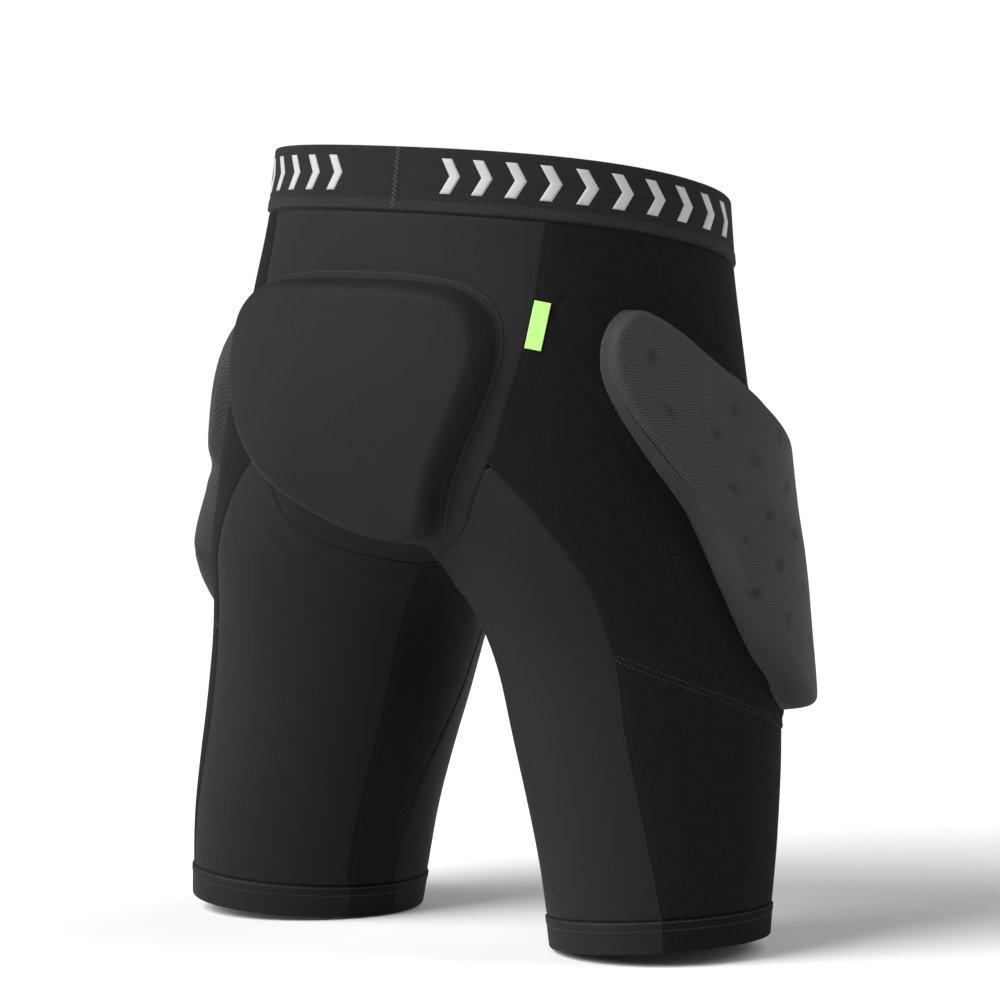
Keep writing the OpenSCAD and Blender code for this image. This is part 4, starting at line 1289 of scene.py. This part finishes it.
def make_hip_core(side, name):
    """The foam under the mesh, with its vent holes."""
    place, points, gap, middle = hip_parts(side, 160)
    kept = slice(0, -len(HIP_OUTSIDE))
    place, points, gap = place[kept], points[kept], gap[kept]
    height, vent = hip_height(points, gap, side, False)
    out = PAD_BASE + np.maximum(0.2, height - 1.4) - 9 * smooth(vent * 1.6 - 0.5) * (height > 14)
    low = PAD_BASE - 0.4
    made = hip_dome("hip_pad_core_" + name, side, place, middle, (out, np.full(out.shape, low)),
                    (float(out[0].mean()), low), cloth_place(place[..., 0], place[..., 1]), FOAM,
                    {"vent": vent})
    across_hip(made, name, "foam", "hip_pad_foam_" + name)


def make_hip_lining(side, name):
    """The thin mesh that closes the pad's pocket on the inside."""
    outline = curve(HIP_OUTLINE, 8, True)
    middle = np.array(HIP_MIDDLE, float)
    shares = np.linspace(0.06, 1.0, 22)[:, None]
    place = upright(middle + shares[..., None] * (outline - middle)[None], side)
    middle = upright(middle, side)
    a, h = place[..., 0], place[..., 1]
    top, low = -LINING_DEPTH, -LINING_DEPTH - LINING_THICK
    out = relief(a, h, side) + 0.25 * ripple(skin(a, h), 26, 77)
    made = hip_dome("hip_pad_lining_cloth_" + name, side, place, middle, (out + top, out + low),
                    (top, low), cloth_place(a, h), LINING, {"vent": np.zeros(a.shape)})
    across_hip(made, name, "lining", "hip_pad_lining_" + name)


def make_pocket_stitches(side, name):
    line = np.vstack([POCKET_EDGES[side], POCKET_EDGES[side][:1]])
    part = seam_stitches(line, side, FABRIC + 0.05, 1.9, 0.9, 0.24, mound=True)
    made = gathered("hip_pocket_stitches_" + name, [part], DARK_STITCH)
    across_hip(made, name, "stitch_thread", "hip_pocket_stitching_" + name)


def back_angle(x, h):
    middle, half = section(h)[:2]
    middle = np.minimum(middle, half)
    return 360 - np.degrees(np.arccos(np.clip((middle - np.abs(x)) / half, -1, 1)))


def seat_depth(x, h):
    return skin(back_angle(x, h), h)[..., 1]


def foam_seat(x, h):
    """The pad's underside spans the valley between the thighs."""
    middle, half, _, back, place = section(h)
    across = np.clip(x / (middle + half), -1, 1)
    spanned = place + back * np.sqrt(1 - across**2) * (1 + FULLNESS * across**2)
    seat = seat_depth(x, h)
    blend = 3.0
    return seat + blend * np.logaddexp(0, (spanned - seat) / blend) - 0.35 * blend


def on_tail(x, h, out):
    y = foam_seat(x, h)
    return np.stack([x, y + out, h + lift(h, y) - RISE], -1)


def tail_parts(n=280):
    outline = curve(TAIL_OUTLINE, 20, True)
    closed = np.vstack([outline, outline[:1]])
    run = lengths(closed)
    s = np.arange(n) * run[-1] / n
    outline = np.stack([np.interp(s, run, closed[:, k]) for k in (0, 1)], -1)
    middle = np.array(TAIL_MIDDLE, float)
    reach = np.linalg.norm(outline - middle, axis=1)
    shares = pad_shares(reach, OUTSIDE_STEPS)
    place = middle + shares[..., None] * (outline - middle)[None]
    gap, _ = away(place, outline)
    return place, np.where(shares > 1, -gap, gap), middle, outline


TAIL_CLOTH = 0.9
TAIL_STITCH = 4.0
TAIL_HALF = (105, 70)
TAIL_LINING_FOOT, TAIL_LINING_DEPTH = 268, 1.6


def tail_height(x, h, gap):
    """The pad's height, crowned at its middle."""
    points = np.stack([x, h * 0, h], -1)
    across, up = (x - TAIL_MIDDLE[0]) / TAIL_HALF[0], (h - TAIL_MIDDLE[1]) / TAIL_HALF[1]
    crown = 1.06 - 0.07 * across**2 - 0.05 * up**2
    return TAIL_FOAM * shoulder(gap, 8.5, 2.7) * crown + 0.15 * ripple(points, 46, 55)


def make_tail_pad():
    place, gap, middle, _ = tail_parts()
    x, h = place[..., 0], place[..., 1]
    y = foam_seat(x, h)
    ground = seat_depth(x, h)
    down = smooth(-gap / 3.5)
    base = y * (1 - down) + ground * down
    height = tail_height(x, h, gap) * (gap > 0)
    out = FABRIC + TAIL_CLOTH + height
    out = out + 0.8 * np.exp(-np.abs(np.minimum(gap, 0)) / 1.5) * (gap <= 0)
    out = out - 0.55 * np.exp(-((gap + TAIL_STITCH) / 0.9) ** 2) - 1.0 * smooth((-gap - 4.4) / 1.2)
    z = h + lift(h, base) - RISE
    top = np.stack([x, base + out, z], -1)
    through = np.array([0, TAIL_CLOTH, 0])
    centre = on_tail(*middle, float(out[0].mean()))
    # The edge share lightens the cover along its stitch line: painted highlight.
    made = dome("tail_pad_cover_cloth", centre, top, centre - through, top - through,
                middle, over_wall(place, middle, TAIL_FOAM - height), [JERSEY],
                {"edge": np.exp(-np.abs(gap + TAIL_STITCH) / 2)})
    on_seat(made, "jersey", "tail_pad_cover")


def make_tail_core():
    place, gap, middle, _ = tail_parts(160)
    place, gap = place[:-len(OUTSIDE_STEPS)], gap[:-len(OUTSIDE_STEPS)]
    x, h = place[..., 0], place[..., 1]
    out = PAD_BASE - 0.6 + np.maximum(0.2, tail_height(x, h, gap) - 0.8)
    top = on_tail(x, h, out)
    low = on_tail(x, h, np.full(out.shape, 1.4))
    made = dome("tail_pad_core", on_tail(*middle, float(out[0].mean())), top,
                on_tail(*middle, 1.4), low, middle, place, [FOAM])
    on_seat(made, "foam", "tail_pad_foam")


def make_tail_lining():
    outline = curve(TAIL_OUTLINE, 8, True)
    middle = np.array(TAIL_MIDDLE, float)
    shares = np.linspace(0.06, 0.97, 20)[:, None]
    place = middle + shares[..., None] * (outline - middle)[None]
    x, h = place[..., 0], place[..., 1]
    foot = TAIL_LINING_FOOT
    h = np.where(h > foot, h, foot - 0.2 * (foot - h))
    points = skin(back_angle(x, h), h)
    depth = points[..., 1] - TAIL_LINING_DEPTH + 0.2 * ripple(points, 26, 79)
    top = np.stack([x, depth, points[..., 2]], -1)
    through = np.array([0, LINING_THICK, 0])
    hub = skin(back_angle(*middle), middle[1])
    hub = np.array([middle[0], hub[1] - TAIL_LINING_DEPTH, hub[2]])
    made = dome("tail_pad_lining_cloth", hub, top, hub - through, top - through, middle,
                place, [LINING], {"vent": np.zeros(x.shape)})
    on_seat(made, "lining", "tail_pad_lining")


def make_tail_stitches():
    """A row of stitches on the cover, a few millimetres outside the foam."""
    _, _, middle, outline = tail_parts()
    x, h = (outline + TAIL_STITCH * unit(outline - middle)).T
    base = seat_depth(x, h)
    spine = np.stack([x, base + FABRIC + 0.62, h + lift(h, base) - RISE], -1)
    flip = np.stack([np.where(x < 0, -1, 1), np.ones_like(x), np.ones_like(x)], -1)
    ups = skin_normal(back_angle(x, h), h) * flip
    made = gathered("tail_pad_stitches", [stitch_parts(spine, ups, 1.9, 0.8, 0.26, True)], STITCH)
    on_seat(made, "stitch_thread", "tail_pad_stitching")


# ---- Label ----

LABEL_PLACE = (231.6, 371.0)


def make_label():
    """A folded ribbon tab that lies beside the right seat seam."""
    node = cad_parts["side_label"]
    corners = np.unique(np.round([list(v.co) for v in node.data.vertices], 6), axis=0) / MM
    middle = corners.mean(0)
    _, _, axes = np.linalg.svd(corners - middle)
    along, across, up = axes
    if along[2] < 0:
        along = -along
    if across[0] > 0:
        across = -across
    up = np.cross(across, along)
    if up @ body_normal(*LABEL_PLACE, RIGHT) < 0:
        up = -up
    span = (corners - middle) @ np.stack([across, along, up]).T
    width, length, thick = span.max(0) - span.min(0)
    turn = np.linspace(-math.pi / 2, math.pi / 2, 9)
    fold = thick * 0.5
    flat = np.linspace(-width / 2, width / 2 - fold, 12)
    profile = [(u, -fold) for u in flat]
    profile += [(width / 2 - fold + fold * math.cos(t), fold * math.sin(t)) for t in turn[1:-1]]
    profile += [(u, fold) for u in flat[::-1]]
    profile = np.array(profile)
    steps = np.linspace(-length / 2, length / 2, 31)
    inner = profile * np.array([1, 0.12])
    inner[:, 0] = np.minimum(inner[:, 0], width / 2 - 0.25)

    def place(shape):
        grid = middle + shape[None, :, :1] * across + steps[:, None, None] * along
        bow = 0.18 * np.sin(steps / length * math.pi * 1.4)[:, None, None]
        return grid + (shape[None, :, 1:] + bow) * up

    run = lengths(profile)
    uv = np.stack(np.meshgrid(run, steps), -1)
    made = cloth("side_label_tab", place(profile), place(inner), uv, [LABEL])
    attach(made, "label")
    tell(made, ["side_label"])


# ---- Floor, light and camera ----

def lamp(name, kind, azimuth, elevation, power, distance=2.4, aim=(0, 0, -0.24)):
    """A light whose place is given as a view's azimuth and elevation."""
    a, e = math.radians(azimuth), math.radians(elevation)
    back = Vector((math.sin(a) * math.cos(e), -math.cos(a) * math.cos(e), math.sin(e)))
    data = bpy.data.lights.new(name, kind)
    data.energy = power
    made = bpy.data.objects.new(name, data)
    made.location = Vector(aim) + back * distance
    made.rotation_mode = "QUATERNION"
    made.rotation_quaternion = (-back).to_track_quat("-Z", "Y")
    bpy.context.scene.collection.objects.link(made)
    return data


def sun(name, azimuth, elevation, power, spread):
    lamp(name, "SUN", azimuth, elevation, power).angle = math.radians(spread)


def panel_light(name, azimuth, elevation, size, power):
    data = lamp(name, "AREA", azimuth, elevation, power)
    data.shape = "RECTANGLE"
    data.size, data.size_y = size


def make_stage():
    reach = 60.0
    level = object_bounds()[0][2] - 0.0006
    mesh = bpy.data.meshes.new("floor")
    corners = [(-reach, -reach, level), (reach, -reach, level), (reach, reach, level),
               (-reach, reach, level)]
    mesh.from_pydata(corners, [], [(0, 1, 2, 3)])
    mesh.materials.append(floor_material())
    floor = bpy.data.objects.new("floor", mesh)
    bpy.context.scene.collection.objects.link(floor)
    world = bpy.data.worlds.new("studio")
    world.use_nodes = True
    sky = world.node_tree.nodes["Background"]
    sky.inputs["Color"].default_value = (1, 1, 1, 1)
    sky.inputs["Strength"].default_value = 0.12
    bpy.context.scene.world = world
    bpy.context.scene.view_settings.view_transform = "Standard"
    sun("key", 152, 38, 4.9, 50)
    sun("fill", 330, 50, 0.8, 60)
    panel_light("rim_right", 292, 20, (0.5, 1.6), 14)
    panel_light("rim_left", 112, 22, (0.6, 1.6), 10)


CAMERA_TURNS = (220.0, 6.0, 0.5)
CAMERA_DISTANCE, CAMERA_LENS = 4.5, 255.15
CAMERA_MIDDLE = (0, 0.003, -0.225)
AIM_ACROSS, AIM_UP = -0.00254, 0.01905


def make_camera():
    """The camera behind the wearer's right, a little above the middle."""
    azimuth, elevation, roll = map(math.radians, CAMERA_TURNS)
    middle = Vector(CAMERA_MIDDLE)
    back = Vector((math.sin(azimuth) * math.cos(elevation),
                   -math.cos(azimuth) * math.cos(elevation), math.sin(elevation)))
    right = (-back).cross(Vector((0, 0, 1))).normalized()
    up = right.cross(-back)
    turned_right = right * math.cos(roll) - up * math.sin(roll)
    turned_up = up * math.cos(roll) + right * math.sin(roll)
    aim = middle + turned_right * AIM_ACROSS + turned_up * AIM_UP
    place = middle + back * CAMERA_DISTANCE
    look = (aim - place).normalized()
    x = look.cross(turned_up).normalized()
    y = x.cross(look)
    data = bpy.data.cameras.new("camera")
    data.lens = CAMERA_LENS
    data.sensor_width = 36
    data.clip_end = 400
    camera = bpy.data.objects.new("camera", data)
    camera.matrix_world = Matrix((
        (x.x, y.x, -look.x, place.x),
        (x.y, y.y, -look.y, place.y),
        (x.z, y.z, -look.z, place.z),
        (0, 0, 0, 1)))
    bpy.context.scene.collection.objects.link(camera)
    bpy.context.scene.camera = camera


def make_shorts():
    band, run = make_waistband()
    pattern = make_band_pattern(run)
    make_join()
    make_waist_seam()
    make_centre_panels()
    for side, name in SIDES:
        make_side_panels(side, name)
        make_leg_panels(side, name)
        make_hem(side, name)
        make_seams(side, name)
        make_leg_stitches(side, name)
        make_hem_stitches(side, name)
        make_hip_pad(side, name)
        make_hip_core(side, name)
        make_hip_lining(side, name)
        make_pocket_stitches(side, name)
    make_tail_pad()
    make_tail_core()
    make_tail_lining()
    make_tail_stitches()
    make_label()


make_shorts()
make_stage()
make_camera()
